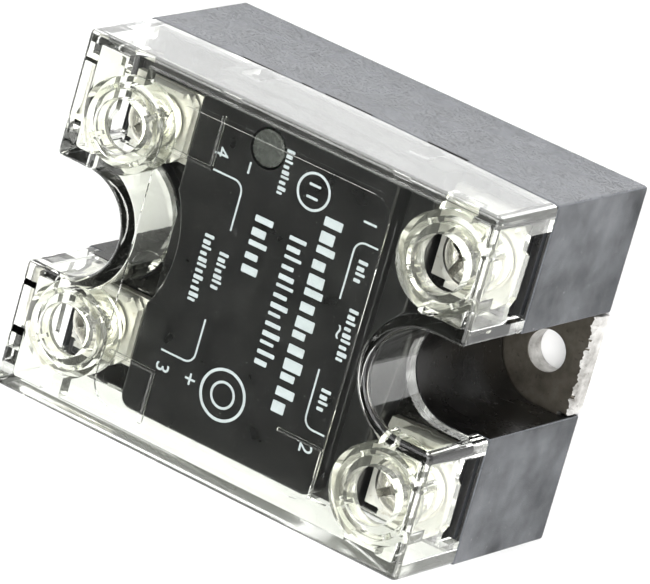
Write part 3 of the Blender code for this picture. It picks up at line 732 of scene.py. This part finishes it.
def ribs():
    """Low ribs and a disc on the underside of the cover's top."""
    under = TOP_Z - COVER_T
    rib = (under - 0.35, under + 0.3)
    parts = []
    for side in SIDES:
        parts.append(box((-9.45, -9.05), (side * 12.55, side * 19.2), rib))
        parts.append(box((-15.6, -9.05), (side * 12.55, side * 12.95), rib))
    parts.append(box((8.5, 14.9), (-12.45, -12.05), rib))
    parts.append(box((14.7, 15.1), (-12.45, -18.2), rib))
    parts.append(cylinder(-13.5, -1.9, under - 0.18, under + 0.3, 2.4, 48))
    return parts


def cover():
    shell = box((-HALF_X, HALF_X), (-HALF_Y, HALF_Y), (17, TOP_Z))
    cut(shell, *notches(NOTCH_R, 10))
    bevelled(shell, 0.75, 4, 40)
    inside_x, inside_y, under = HALF_X - COVER_T, HALF_Y - COVER_T, TOP_Z - COVER_T
    hollow = box((-inside_x, inside_x), (-inside_y, inside_y), (10, under))
    cut(hollow, *notches(NOTCH_R + COVER_T, 5))
    bevelled(hollow, 0.5, 2, 40)
    reach = HALF_X + PAST
    below = [(-reach, 10), (reach, 10)] + seam_line(reach, 0.12)
    cutters = [hollow, along_y(below, -HALF_Y - 2, HALF_Y + 2)]
    for end in ENDS:
        cutters.append(box((end * 8.1, end * 27.5), (-8.4, 8.4), (15, 22.3)))
        for side in SIDES:
            y = (side * (inside_y - 1), side * (inside_y + 0.8))
            cutters.append(box(around(end * CATCH_X, 1.35), y, (15, 23.8)))
    cut(shell, *cutters, *[wire_window(t) for t in TERMINALS])
    collars = [part for t in TERMINALS for part in collar(t)]
    joined(shell, *collars, *ribs())
    bores = [cylinder(t.x, t.y, 28, 34, t.hole_r, 80) for t in TERMINALS]
    panel = prism(rounded(-16.0, -18.7, 15.6, 18.7, 2.8, 10), TOP_Z - 0.25, 34)
    cut(shell, *bores, panel)
    bevelled(shell, 0.1, 2, 50)

    # Faces round a collar take the collar look. The long side walls take a paler, less clear copy
    # of the plastic, which is painted light.
    def choose(face):
        x, y, z = face.center / MM
        for t in TERMINALS:
            if (x - t.x) ** 2 + (y - t.y) ** 2 < (t.outer_r + 0.15) ** 2 and z < TOP_Z - 0.1:
                return 1
        return 2 if abs(y) > HALF_Y - 0.3 and abs(face.normal.y) > 0.8 else 0

    looks = (clear_plastic, collar_plastic, lit_side_clear)
    piece(shell, "clear_cover_shell", looks, "clear_cover", "cover", 32, choose)


# ---- metal parts
def torn_edge(x, y0, y1, top, steps=56):
    """A cutter that leaves a sheared edge ragged: a wedge whose depth wanders along its length."""
    verts, faces = [], []
    for i in range(steps + 1):
        y = y0 + (y1 - y0) * i / steps
        back = 0.34 + 0.14 * sin(1.3 * y + 0.5) + 0.12 * sin(4.1 * y) + 0.09 * sin(11.3 * y + 1.0)
        down = 0.75 + 0.35 * sin(0.9 * y + 2.0) + 0.22 * sin(5.3 * y) + 0.15 * sin(13.7 * y)
        verts += [(x - back, y, top), (x - back, y, top + 1), (x + 1, y, top + 1)]
        verts += [(x + 1, y, top - down), (x, y, top - down)]
    for i in range(steps):
        for k in range(5):
            a, b = 5 * i + k, 5 * i + (k + 1) % 5
            faces.append((a, b, b + 5, a + 5))
    faces.append(tuple(range(5)))
    faces.append(tuple(5 * steps + k for k in reversed(range(5))))
    return shape(verts, faces)


def base_plate():
    """A plate with an ear at each end, a round hole in one and an open slot in the other."""
    x, y, ear, hole_x, hole_r = 27.6, 20.9, 6.2, 24.0, 2.5
    plan = [(-x, -y), (x, -y), (x, -ear), (HALF_X, -ear), (HALF_X, ear), (x, ear), (x, y), (-x, y)]
    plan += [(-x, ear), (-HALF_X, ear), (-HALF_X, hole_r)]
    plan += arc(-hole_x, 0, hole_r, 90, -90, 24)
    plan += [(-HALF_X, -hole_r), (-HALF_X, -ear), (-x, -ear)]
    plate = prism(plan, 0, PLATE_T)
    cut(plate, cylinder(hole_x, 0, -1, 5, hole_r, 64))
    bevelled(plate, 0.16, 2, 40)
    cut(plate, torn_edge(HALF_X, -ear - 0.2, ear + 0.2, PLATE_T))

    def choose(face):
        return 0 if abs(face.normal.z) > 0.7 else 1

    looks = (plate_top, plate_edge)
    piece(plate, "mounting_plate", looks, "base_plate", sharp=40, choose=choose)


def threaded(x, y, z0, z1, r, pitch, sides=28, per_turn=8):
    """A shank with a right-hand thread that starts from a narrower tip."""
    levels = int((z1 - z0) / pitch * per_turn)
    verts, faces = [], []
    for k in range(levels + 1):
        z = z0 + (z1 - z0) * k / levels
        for i in range(sides):
            turn = i / sides
            wave = abs(2 * ((z / pitch - turn) % 1) - 1)
            fade = min(1, (z - z0) / pitch)
            radius = r - THREAD_DEPTH * max(1 - wave * 1.3, 0) - 0.35 * (1 - fade)
            a = 2 * pi * turn
            verts.append((x + radius * cos(a), y + radius * sin(a), z))
    for k in range(levels):
        for i in range(sides):
            j = (i + 1) % sides
            low, high = k * sides, (k + 1) * sides
            faces.append((low + i, low + j, high + j, high + i))
    faces.append(tuple(range(sides)))
    faces.append(tuple(levels * sides + i for i in reversed(range(sides))))
    return shape(verts, faces)


def screw(t):
    """A domed head with a cross recess, and at the output end a slot too, on a threaded shank."""
    z0, top, r = HEAD_Z, HEAD_TOP, t.head_r
    neck = t.shank_r - 0.1
    profile = [(0, top), (r * 0.5, top - 0.1), (r * 0.78, top - 0.34), (r * 0.93, top - 0.72)]
    profile += [(r, top - 1.2), (r, z0 + 0.15), (r - 0.15, z0), (neck, z0), (neck, z0 - 0.4)]
    head = lathe(t.x, t.y, profile + [(0, z0 - 0.4)], 72)
    turned = about(t, SPIN[t.number])
    reach, half = r * 0.62, 0.48
    wing = [(-reach, top + 1), (reach, top + 1), (reach, top - 0.3), (reach * 0.5, top - 1.7)]
    wing += [(-reach * 0.5, top - 1.7), (-reach, top - 0.3)]
    recess = []
    for turn in (0, 90):
        arm = along_y(wing, -half, half)
        arm.data.transform(turned @ Matrix.Rotation(radians(turn), 4, "Z"))
        recess.append(arm)
    pit = [(0, top + 1), (1.15, top + 1), (1.0, top - 0.6), (0.6, top - 1.8), (0, top - 2.0)]
    recess.append(lathe(t.x, t.y, pit, 24))
    if t.end > 0:
        slot = box((-r - 1, r + 1), (-0.5, 0.5), (top - 1.0, top + 1))
        slot.data.transform(turned)
        recess.append(slot)
    cut(head, *recess)
    bevelled(head, 0.07, 2, 40)
    made = merged([head, threaded(t.x, t.y, 16.4, z0 - 0.2, t.shank_r, t.pitch)])

    # Faces inside the cross recess and slot take the dark metal: painted shade, with oily grime,
    # in the recess.
    def choose(face):
        x, y, z = face.center / MM
        out = ((x - t.x) ** 2 + (y - t.y) ** 2) ** 0.5
        return 1 if z0 + 0.3 < z < top - 0.45 and out < r * 0.8 else 0

    body = f"screw_{t.number}"
    looks = (nickel, dark_metal_and_recess_shade)
    piece(made, body, looks, f"terminal_screw_{t.number}", body, 30, choose)


def clamp(t):
    """A square plate with cut corners, lips on two sides and grooves underneath."""
    hx, hy, c, z = 4.1, t.half_y, 1.2, CLAMP_Z
    plan = [(hx, hy - c), (hx - c, hy), (c - hx, hy), (-hx, hy - c)]
    plan += [(-a, -b) for a, b in plan]
    plate = prism([(t.x + a, t.y + b) for a, b in plan], z, z + CLAMP_T)
    lips = []
    for side in SIDES:
        y = (t.y + side * hy, t.y + side * (hy - 0.6))
        lips.append(box((t.x - hx + c, t.x + hx - c), y, (z + 0.5, z + 2.1)))
    joined(plate, *lips)
    grooves = [cylinder(t.x, t.y, z - 1, z + 3, t.shank_r + 0.4, 40)]
    for k in range(-3, 4):
        x = t.x + k * 1.1
        vee = [(x - 0.22, z - 0.1), (x + 0.22, z - 0.1), (x, z + 0.22)]
        grooves.append(along_y(vee, t.y - hy - 1, t.y + hy + 1))
    cut(plate, *grooves)
    bevelled(plate, 0.12, 2, 50)
    body = f"clamp_{t.number}"
    piece(plate, body + "_plate", dull_nickel, f"clamp_plate_{t.number}", body)


def lug(t):
    """A contact bar with a leg that bends down into the housing to a foot."""
    e = t.end
    top, thick, leg, bend = LUG_TOP, 1.2, 1.0, 0.9
    inner = t.x - e * LUG_IN[e]
    outer = t.x + e * LUG_OUT[e]
    foot = 4.6 if e > 0 else 15.5
    reach = inner - e * 3.6
    outline = [(outer, top - thick), (outer, top)]
    outline += [(inner + e * (bend + a), top - bend + b) for a, b in arc(0, 0, bend, 90, 180, 6)]
    outline += [(inner, foot + leg), (reach, foot + leg), (reach, foot)]
    outline += [(inner + e * leg, foot), (inner + e * leg, top - thick)]
    bent = along_y(outline, *around(t.y, LUG_LEG))
    contact = box((inner + e * 0.15, outer), around(t.y, t.half_y), (top - thick, top))
    joined(contact, bent)
    cut(contact, cylinder(t.x, t.y, 19, 24, t.shank_r + 0.4, 40))
    bevelled(contact, 0.14, 2, 50)
    name = f"lug_{t.number}"
    piece(contact, name, nickel_lug, "terminal_" + name, sharp=30)


def status_lens():
    top = 27.25
    profile = [(0, top), (1.5, top - 0.03), (2.0, top - 0.1), (2.2, top - 0.3), (2.2, 24.0)]
    profile += [(1.8, 24.0), (1.8, 21.8), (1.6, 21.6), (0, 21.6)]
    pipe = lathe(LENS_X, LENS_Y, profile, 56)
    piece(pipe, "light_pipe", frosted, "status_lens")


# ---- printed marks
INK_Z = PLATEAU_Z + 0.005
INK_T = 0.03
LINE_WIDTH = 0.22
CORNER_LINES = (
    # tip, middle of the bend, its first and last angle, far end
    ((-11.3, 11.3), (-8.2, 10.0), (90, 0), (-6.9, 5.4)),
    ((-11.5, -11.4), (-8.2, -10.1), (-90, 0), (-6.9, -5.7)),
    ((12.3, 11.0), (10.6, 9.7), (90, 180), (9.3, 3.7)),
    ((12.3, -12.2), (10.6, -10.9), (270, 180), (9.3, -5.1)),
)
BEND_R = 1.3
SIGNS = (
    # text, x, y, size
    ("4", -10.8, 13.6, 2.6),
    ("3", -10.8, -13.4, 2.6),
    ("1", 10.3, 13.4, 2.6),
    ("2", 10.3, -14.6, 2.6),
    ("+", -6.9, -13.2, 3.0),
    ("−", -6.9, 13.3, 3.0),
    ("~", 10.4, 0.0, 3.0),
)
SMALL_ROWS = (
    # x0, x1, y0, y1, count
    (-7.5, -6.2, 2.6, -2.2, 7),
    (-10.0, -8.7, 3.9, -4.8, 12),
    (10.9, 12.2, 3.2, -3.6, 9),
    (10.3, 11.6, 9.0, 6.0, 4),
    (10.3, 11.6, -7.0, -10.0, 4),
    (-2.5, -1.4, 17.4, 11.6, 9),
)
LARGE_ROWS = (
    # x0, x1, y0, y1, count, filled share
    (-4.2, -1.7, 8.6, 1.0, 5, 0.5),
    (0.8, 3.2, 8.1, -8.4, 14, 0.42),
    (4.6, 7.1, 12.0, -12.6, 14, 0.62),
)
RINGS = ((-2.0, -13.2, 3.2, 2.85), (-2.0, -13.2, 1.7, 1.4), (2.2, 14.0, 2.3, 2.0))
DASHES = ((1.4, 14.9, 3.0, 14.6), (1.4, 13.4, 3.0, 13.1))


def stroke(points):
    """A printed line through the points, as one flat strip per segment."""
    parts = []
    for (x0, y0), (x1, y1) in zip(points, points[1:]):
        way = Vector((x1 - x0, y1 - y0))
        across = Vector((-way.y, way.x)).normalized() * LINE_WIDTH / 2
        corners = [(x0 + across.x, y0 + across.y), (x1 + across.x, y1 + across.y)]
        corners += [(x1 - across.x, y1 - across.y), (x0 - across.x, y0 - across.y)]
        parts.append(prism(corners, INK_Z, INK_Z + INK_T))
    return parts


def dash(x0, y0, x1, y1):
    (x0, x1), (y0, y1) = sorted((x0, x1)), sorted((y0, y1))
    return prism(rounded(x0, y0, x1, y1, 0.1, 3), INK_Z, INK_Z + INK_T)


def row(x0, x1, y0, y1, count, fill=0.55):
    """A row of plain blocks of uneven height, in place of a line of print."""
    step = (y1 - y0) / count
    made = []
    for i in range(count):
        short = (x1 - x0) * (0.0, 0.22, 0.0, 0.3, 0.12)[i % 5]
        y = y0 + step * i
        made.append(dash(x0, y, x1 - short, y + step * fill * (1.0, 1.25, 0.8)[i % 3]))
    return made


def ring(x, y, outer, inner):
    z0, z1 = INK_Z, INK_Z + INK_T
    return lathe(x, y, [(outer, z1), (outer, z0), (inner, z0), (inner, z1)])


def sign(text, x, y, size):
    """A digit or sign, read with +X up and -Y to the right."""
    curve = bpy.data.curves.new("sign", "FONT")
    curve.body = text
    curve.size = size
    curve.extrude = INK_T / 2
    curve.align_x = curve.align_y = "CENTER"
    drawn = linked("sign", curve)
    mesh = evaluated_mesh(drawn)
    bpy.data.objects.remove(drawn)
    spot = Matrix.Translation((x, y, INK_Z + INK_T / 2))
    mesh.transform(spot @ Matrix.Rotation(-pi / 2, 4, "Z"))
    return linked("sign", mesh)


def printed():
    """The print on the plateau: corner lines, terminal numbers and signs, and plain stand-ins."""
    marks = []
    for tip, (x, y), (start, end), far in CORNER_LINES:
        marks += stroke([tip] + arc(x, y, BEND_R, start, end, 6) + [far])
    marks += [sign(*each) for each in SIGNS]
    for each in SMALL_ROWS:
        marks += row(*each)
    marks += [ring(*each) for each in RINGS]
    marks += [dash(*each) for each in DASHES]
    for each in LARGE_ROWS:
        marks += row(*each)
    piece(merged(marks), "terminal_marks", ink, None, sharp=30)


# ---- inside the housing
def above(height):
    """Look 1 for faces whose middle is higher than this, and look 0 for the rest."""
    return lambda face: int(face.center.z / MM > height)


def captive_nut(t):
    nut = bevelled(box(around(t.x, NUT), around(t.y, NUT), (17.3, 20.3)), 0.4, 2)
    r = t.shank_r + 0.3
    bore = [(0, 16.8), (r + 0.6, 16.8), (r, 17.8), (r, 19.8), (r + 0.6, 20.8), (0, 20.8)]
    cut(nut, lathe(t.x, t.y, bore, 40))
    name = f"nut_{t.number}"
    piece(nut, name, steel, "captive_" + name)


def tile():
    """The ceramic tile with its copper pads."""
    made = bevelled(box((-12, 15.4), (-17.5, 17.5), (3.3, 4.3)), 0.12)
    pads, pad_z = [], (4.2, 4.38)
    for side in SIDES:
        pads.append(box((-10.8, -6.2), (side * 5.2, side * 9.8), pad_z))
        pads.append(box((-2.4, 14.6), (side * 3.2, side * 16.6), pad_z))
    joined(made, *[bevelled(pad, 0.05) for pad in pads])
    looks, on_top = (alumina, copper), above(4.33)
    piece(made, "insulating_tile", looks, "ceramic_substrate", choose=on_top)


def switch(letter, side):
    """A thyristor die with its strap and the spring that joins its gate to the board."""
    y, gate_y = side * 7.5, side * GATE_Y
    die = bevelled(box((-1.4, 5.4), around(y, 3.4), (4.6, 5.1)), 0.1)
    plated = bevelled(box((-0.7, 3.7), around(y, 2.7), (5.0, 5.2)), 0.05)
    joined(die, plated, cylinder(GATE_X, gate_y, 5.0, 5.2, 0.45, 24))
    looks, on_top = (silicon, dark_metal_and_recess_shade), above(5.14)
    die_name = "thyristor_die_" + letter
    piece(die, "power_die_" + letter, looks, die_name, choose=on_top)
    line = [(-8.0, 4.6), (-6.6, 4.6), (-6.3, 4.66), (-0.9, 5.44), (-0.6, 5.5), (3.7, 5.5)]
    line += [(3.7, 6.1), (-0.8, 6.1), (-1.2, 6.02), (-6.5, 5.24), (-6.8, 5.2), (-8.0, 5.2)]
    strap = along_y(line, *around(y, 1.7))
    cut(strap, cylinder(-7.4, y, 4, 6, 0.45, 24), cylinder(1.4, y, 5, 7, 0.6, 24))
    bevelled(strap, 0.08)
    piece(strap, "bent_strap_" + letter, copper, "die_strap_" + letter)
    wide, narrow, pitch = 0.5, 0.36, 0.36
    coil = [(0, 5.5), (0.3, 5.5), (wide, 5.8)]
    for k in range(18):
        coil += [(wide, 6.3 + pitch * k), (narrow, 6.48 + pitch * k)]
    coil += [(wide, 12.9), (0.3, 13.3), (0, 13.3)]
    spring = lathe(GATE_X, gate_y, coil, 24)
    piece(spring, "gate_spring_" + letter, copper, "gate_pin_" + letter)


def control_board():
    """The board with its traces, soldered joints and chips."""
    board = bevelled(box((-15.8, 11), (-18.2, 18.2), BOARD_Z), 0.12)
    raised = [box((x0, x1), (y0, y1), (BURIED_Z, 15.26)) for x0, x1, y0, y1 in TRACES]
    blob = [(0, BURIED_Z), (0.95, BURIED_Z), (0.9, 15.25), (0.5, 15.36), (0, 15.4)]
    raised += [lathe(x, y, blob, 24) for x, y in SOLDERED]
    joined(board, *raised)
    chips = []
    for x, y in CHIPS:
        chip = box(around(x, 0.9), around(y, 0.5), (BURIED_Z, 15.44))
        chips.append(bevelled(chip, 0.06))
    joined(board, *chips)
    looks, on_top = (fibreglass, dark_metal_and_recess_shade), above(15.22)
    piece(board, "circuit_board", looks, "control_board", choose=on_top)


def optocoupler():
    """A six-legged package with a dimple by its first leg."""
    x, y, half_y, pitch = -7.0, 0.0, 3.2, 2.54
    body = bevelled(box(around(x, 4.3), around(y, half_y), (16.0, 19.4)), 0.45, 2)
    cut(body, cylinder(x - 3.2, y - 2.1, 19.15, 20, 0.45, 24))
    line = [(2.6, 17.5), (3.5, 17.5), (3.75, 17.3), (3.8, STAND_Z)]
    line += [(3.5, STAND_Z), (3.45, 17.1), (2.6, 17.1)]
    legs = []
    for step in (-1, 0, 1):
        for side in SIDES:
            leg = [(y + side * a, z) for a, z in line]
            legs.append(along_x(leg, *around(x + pitch * step, 0.6)))
    joined(body, *legs)

    def choose(face):
        return int(abs(face.center.y / MM - y) > half_y + 0.02)

    looks = (package_black, nickel_lug)
    piece(body, "coupler", looks, "optocoupler", choose=choose)


def snubber_capacitor():
    x, y = 3.2, -9.5
    case = bevelled(box(around(x, 6.4), around(y, 2.8), (15.9, 23.9)), 0.55, 3)
    feet = [box(around(x + a, 0.6), around(y, 2.2), (STAND_Z, 17)) for a in (-5.4, 5.4)]
    joined(case, *feet)
    cut(case, box(around(x, 5.0), around(y, 1.6), (23.78, 25)))
    bevelled(case, 0.08, 2, 50)
    piece(case, "film_capacitor", capacitor_case, "snubber_capacitor")


def resistor(name, node_name, x, y, half, r):
    """A lacquered body with swollen ends and painted bands, on leads bent down to the board."""
    z = STAND_Z + r + 0.4
    profile = [(0, -half), (r * 0.8, -half), (r, -half + 0.25 * r), (r, -half * 0.62)]
    profile += [(r * 0.86, -half * 0.5)]
    profile += [(a, -b) for a, b in reversed(profile)]
    body = lathe(0, 0, profile, 40)
    wire = [(0, -half - 1.3), (0.3, -half - 1.3), (0.4, -half - 1.1), (0.4, half + 1.1)]
    body = merged([body, lathe(0, 0, wire + [(0.3, half + 1.3), (0, half + 1.3)], 20)])
    body.data.transform(Matrix.Translation((x, y, z)) @ Matrix.Rotation(pi / 2, 4, "Y"))
    downs = [cylinder(x + side * (half + 1.2), y, STAND_Z, z, 0.36, 20) for side in SIDES]
    made = merged([body] + downs)

    def choose(face):
        along = (face.center.x / MM - x) / half
        if abs(along) > 1.02:
            return 1
        return 2 if any(abs(along - band) < 0.07 for band in COLOUR_BANDS) else 0

    looks = (resistor_body, nickel_lug, band_paint)
    piece(made, name, looks, node_name, choose=choose)


def status_led():
    base, r, dome_z = STAND_Z, 1.5, 19.5
    profile = [(0, base), (1.9, base), (1.9, base + 0.9), (r, base + 1.0), (r, dome_z)]
    profile += arc(0, dome_z, r, 15, 75, 4)
    lamp = lathe(LENS_X, LENS_Y, profile + [(0, dome_z + r)], 40)
    piece(lamp, "lamp", lamp_red, "status_led")


def potting():
    """The resin, cut away round the notches, the power stage, two lugs and the gate springs."""
    fill = box((-27.2, 27.2), (-20.5, 20.5), (3.6, 12.6))
    cutters = notches(8.4)
    cutters.append(box((-12.3, 15.7), (-17.8, 17.8), (0, 7.4)))
    for t in TERMINALS[:2]:
        cutters.append(box((12.7, 17.9), around(t.y, LUG_SLOT), (0, 14)))
        cutters.append(cylinder(GATE_X, t.side * GATE_Y, 0, 14, 0.8, 24))
    cut(fill, *cutters)
    bevelled(fill, 0.3, 3, 50)
    piece(fill, "casting_resin", resin, "potting_compound")


# ---- build
# Lit copy of the housing plastic for the long sides: lighter colour and full specular, a painted
# sheen.
side_lit_black = moulded_black(
    "side_lit_black", (0.058, 0.065, 0.078), (0.080, 0.089, 0.106), (0.22, 0.30), 0.8,
    gloss=1.0, scuffs=0.2, dust=0.4, wear=0.4, pits=0.3,
)
# Shaded copy of the housing plastic for the ends: lower specular, which is painted shade. Its
# strong mottling is partly the plastic's own tone and partly painted cloudy highlights.
end_shaded_black = moulded_black(
    "end_shaded_black", (0.026, 0.028, 0.031), (0.105, 0.111, 0.121), (0.62, 0.32), 2.8,
    gloss=0.3, scuffs=0.3, dust=0.6, wear=0.2, broad_scale=0.13,
)
# Near-black copy of the housing plastic for the notch walls: painted shade in the notches.
notch_shade_black = moulded_black(
    "notch_shade_black", (0.002, 0.002, 0.002), (0.004, 0.004, 0.004), (0.2, 0.34), 0.15,
    gloss=0.2, scuffs=0.12, dust=0.25, wear=0.2,
)
# Near-black copy of the housing plastic for the deck above the seam and every level face: painted
# shade.
level_and_deck_shade_black = moulded_black(
    "level_and_deck_shade_black", (0.0065, 0.0065, 0.007), (0.012, 0.012, 0.013), (0.26, 0.4), 0.12,
    gloss=0.4, scuffs=0.08, dust=0.2, wear=0.2,
)
package_black = moulded_black(
    "package_black", (0.015, 0.015, 0.016), (0.03, 0.03, 0.032), (0.4, 0.6), 0.3
)
clear_plastic = clear(
    "clear_plastic_look", ((0.95, 0.958, 0.925), (0.915, 0.928, 0.88)), (0.0, 0.05), 0.12
)
collar_plastic = clear(
    "collar_plastic_look", ((0.92, 0.93, 0.87), (0.87, 0.88, 0.80)), (0.02, 0.08), 0.1,
    clarity=0.95,
)
# Paler, rougher, less clear copy of the clear plastic for the cover's long walls: painted light
# that brightens them.
lit_side_clear = clear(
    "cover_side_lit_look", ((0.90, 0.91, 0.90), (0.84, 0.85, 0.84)), (0.06, 0.18), 0.15,
    clarity=0.86,
)
nickel = metal(
    "nickel_look", (0.80, 0.78, 0.71), (0.90, 0.88, 0.82), (0.10, 0.26),
    scratch=0.2, grain=0.08, spots=(0.42, 0.36, 0.28),
)
dull_nickel = metal(
    "dull_nickel_look", (0.68, 0.675, 0.65), (0.80, 0.795, 0.765), (0.36, 0.52),
    brush=(0.4, 3, 3), grain=0.1, spots=(0.50, 0.46, 0.39),
)
nickel_lug = metal(
    "nickel_lug_look", (0.68, 0.67, 0.635), (0.78, 0.77, 0.73), (0.3, 0.45),
    brush=(0.3, 3, 3), grain=0.12, spots=(0.44, 0.40, 0.33),
)
# A dark metal: painted shade, with oily grime, inside the screws' recesses, and the plain finish
# of the die tops, board traces, joints and chips.
dark_metal_and_recess_shade = metal(
    "dark_metal_and_recess_shade_look", (0.10, 0.095, 0.085), (0.28, 0.27, 0.24), (0.2, 0.4),
    brush=(1, 1, 3), grain=0.15,
)
plate_top = metal(
    "plate_top_look", (0.085, 0.075, 0.062), (0.16, 0.145, 0.12), (0.34, 0.55),
    brush=(3, 0.4, 1), scratch=0.5, grain=0.4, spots=(0.05, 0.045, 0.04),
)
plate_edge = metal(
    "plate_edge_look", (0.30, 0.29, 0.27), (0.74, 0.73, 0.71), (0.3, 0.55),
    brush=(2, 2, 0.5), scratch=0.6, grain=1.4, spots=(0.14, 0.13, 0.11),
)
steel = metal(
    "steel_look", (0.50, 0.49, 0.47), (0.62, 0.61, 0.58), (0.25, 0.45),
    brush=(1, 1, 3), grain=0.2, spots=(0.35, 0.32, 0.28),
)
copper = metal(
    "copper_look", (0.62, 0.30, 0.17), (0.80, 0.42, 0.26), (0.2, 0.4),
    brush=(4, 0.5, 1), grain=0.2, spots=(0.30, 0.15, 0.10),
)
silicon = metal(
    "silicon_look", (0.12, 0.13, 0.16), (0.20, 0.21, 0.25), (0.08, 0.2),
    grain=0.05,
)
alumina = speckled(
    "alumina_look", (0.84, 0.83, 0.79), (0.72, 0.71, 0.67), (0.5, 0.7), scale=3.0, grain=0.25
)
frosted = speckled(
    "frosted_look", (0.050, 0.053, 0.052), (0.075, 0.08, 0.078), (0.2, 0.35),
    scale=3.0, grain=0.1, transmission=0.25,
)
ink = speckled(
    "ink_look", (0.44, 0.48, 0.53), (0.34, 0.37, 0.41), (0.45, 0.6), scale=4.0, grain=0.15
)
fibreglass = speckled(
    "fibreglass_look", (0.02, 0.12, 0.045), (0.04, 0.2, 0.08), (0.3, 0.5), scale=1.6, grain=0.3
)
capacitor_case = speckled(
    "capacitor_look", (0.46, 0.30, 0.05), (0.34, 0.21, 0.03), (0.3, 0.5), scale=2.0, grain=0.2
)
resistor_body = speckled(
    "resistor_look", (0.35, 0.44, 0.50), (0.24, 0.31, 0.36), (0.35, 0.55), scale=2.6, grain=0.3
)
band_paint = speckled(
    "band_look", (0.30, 0.09, 0.03), (0.20, 0.05, 0.02), (0.35, 0.5), scale=3.0, grain=0.2
)
lamp_red = speckled(
    "lamp_look", (0.55, 0.03, 0.02), (0.40, 0.02, 0.01), (0.1, 0.25),
    scale=2.0, grain=0.08, transmission=0.4,
)
resin = speckled(
    "resin_look", (0.018, 0.018, 0.02), (0.045, 0.045, 0.05), (0.15, 0.4), scale=1.2, grain=0.35
)

camera()
world_light()
floor = floor_plane()
for settings in SOFTBOXES:
    softbox(*settings)
bpy.context.scene.view_settings.view_transform = "Standard"

housing()
cover()
base_plate()
for terminal in TERMINALS:
    screw(terminal)
    clamp(terminal)
    lug(terminal)
    captive_nut(terminal)
status_lens()
printed()
tile()
switch("a", 1)
switch("b", -1)
control_board()
optocoupler()
snubber_capacitor()
resistor("power_resistor", "snubber_resistor", 3.6, 4.0, 4.6, 1.9)
resistor("signal_resistor", "input_resistor", -7.2, -9.0, 2.1, 1.1)
status_led()
potting()
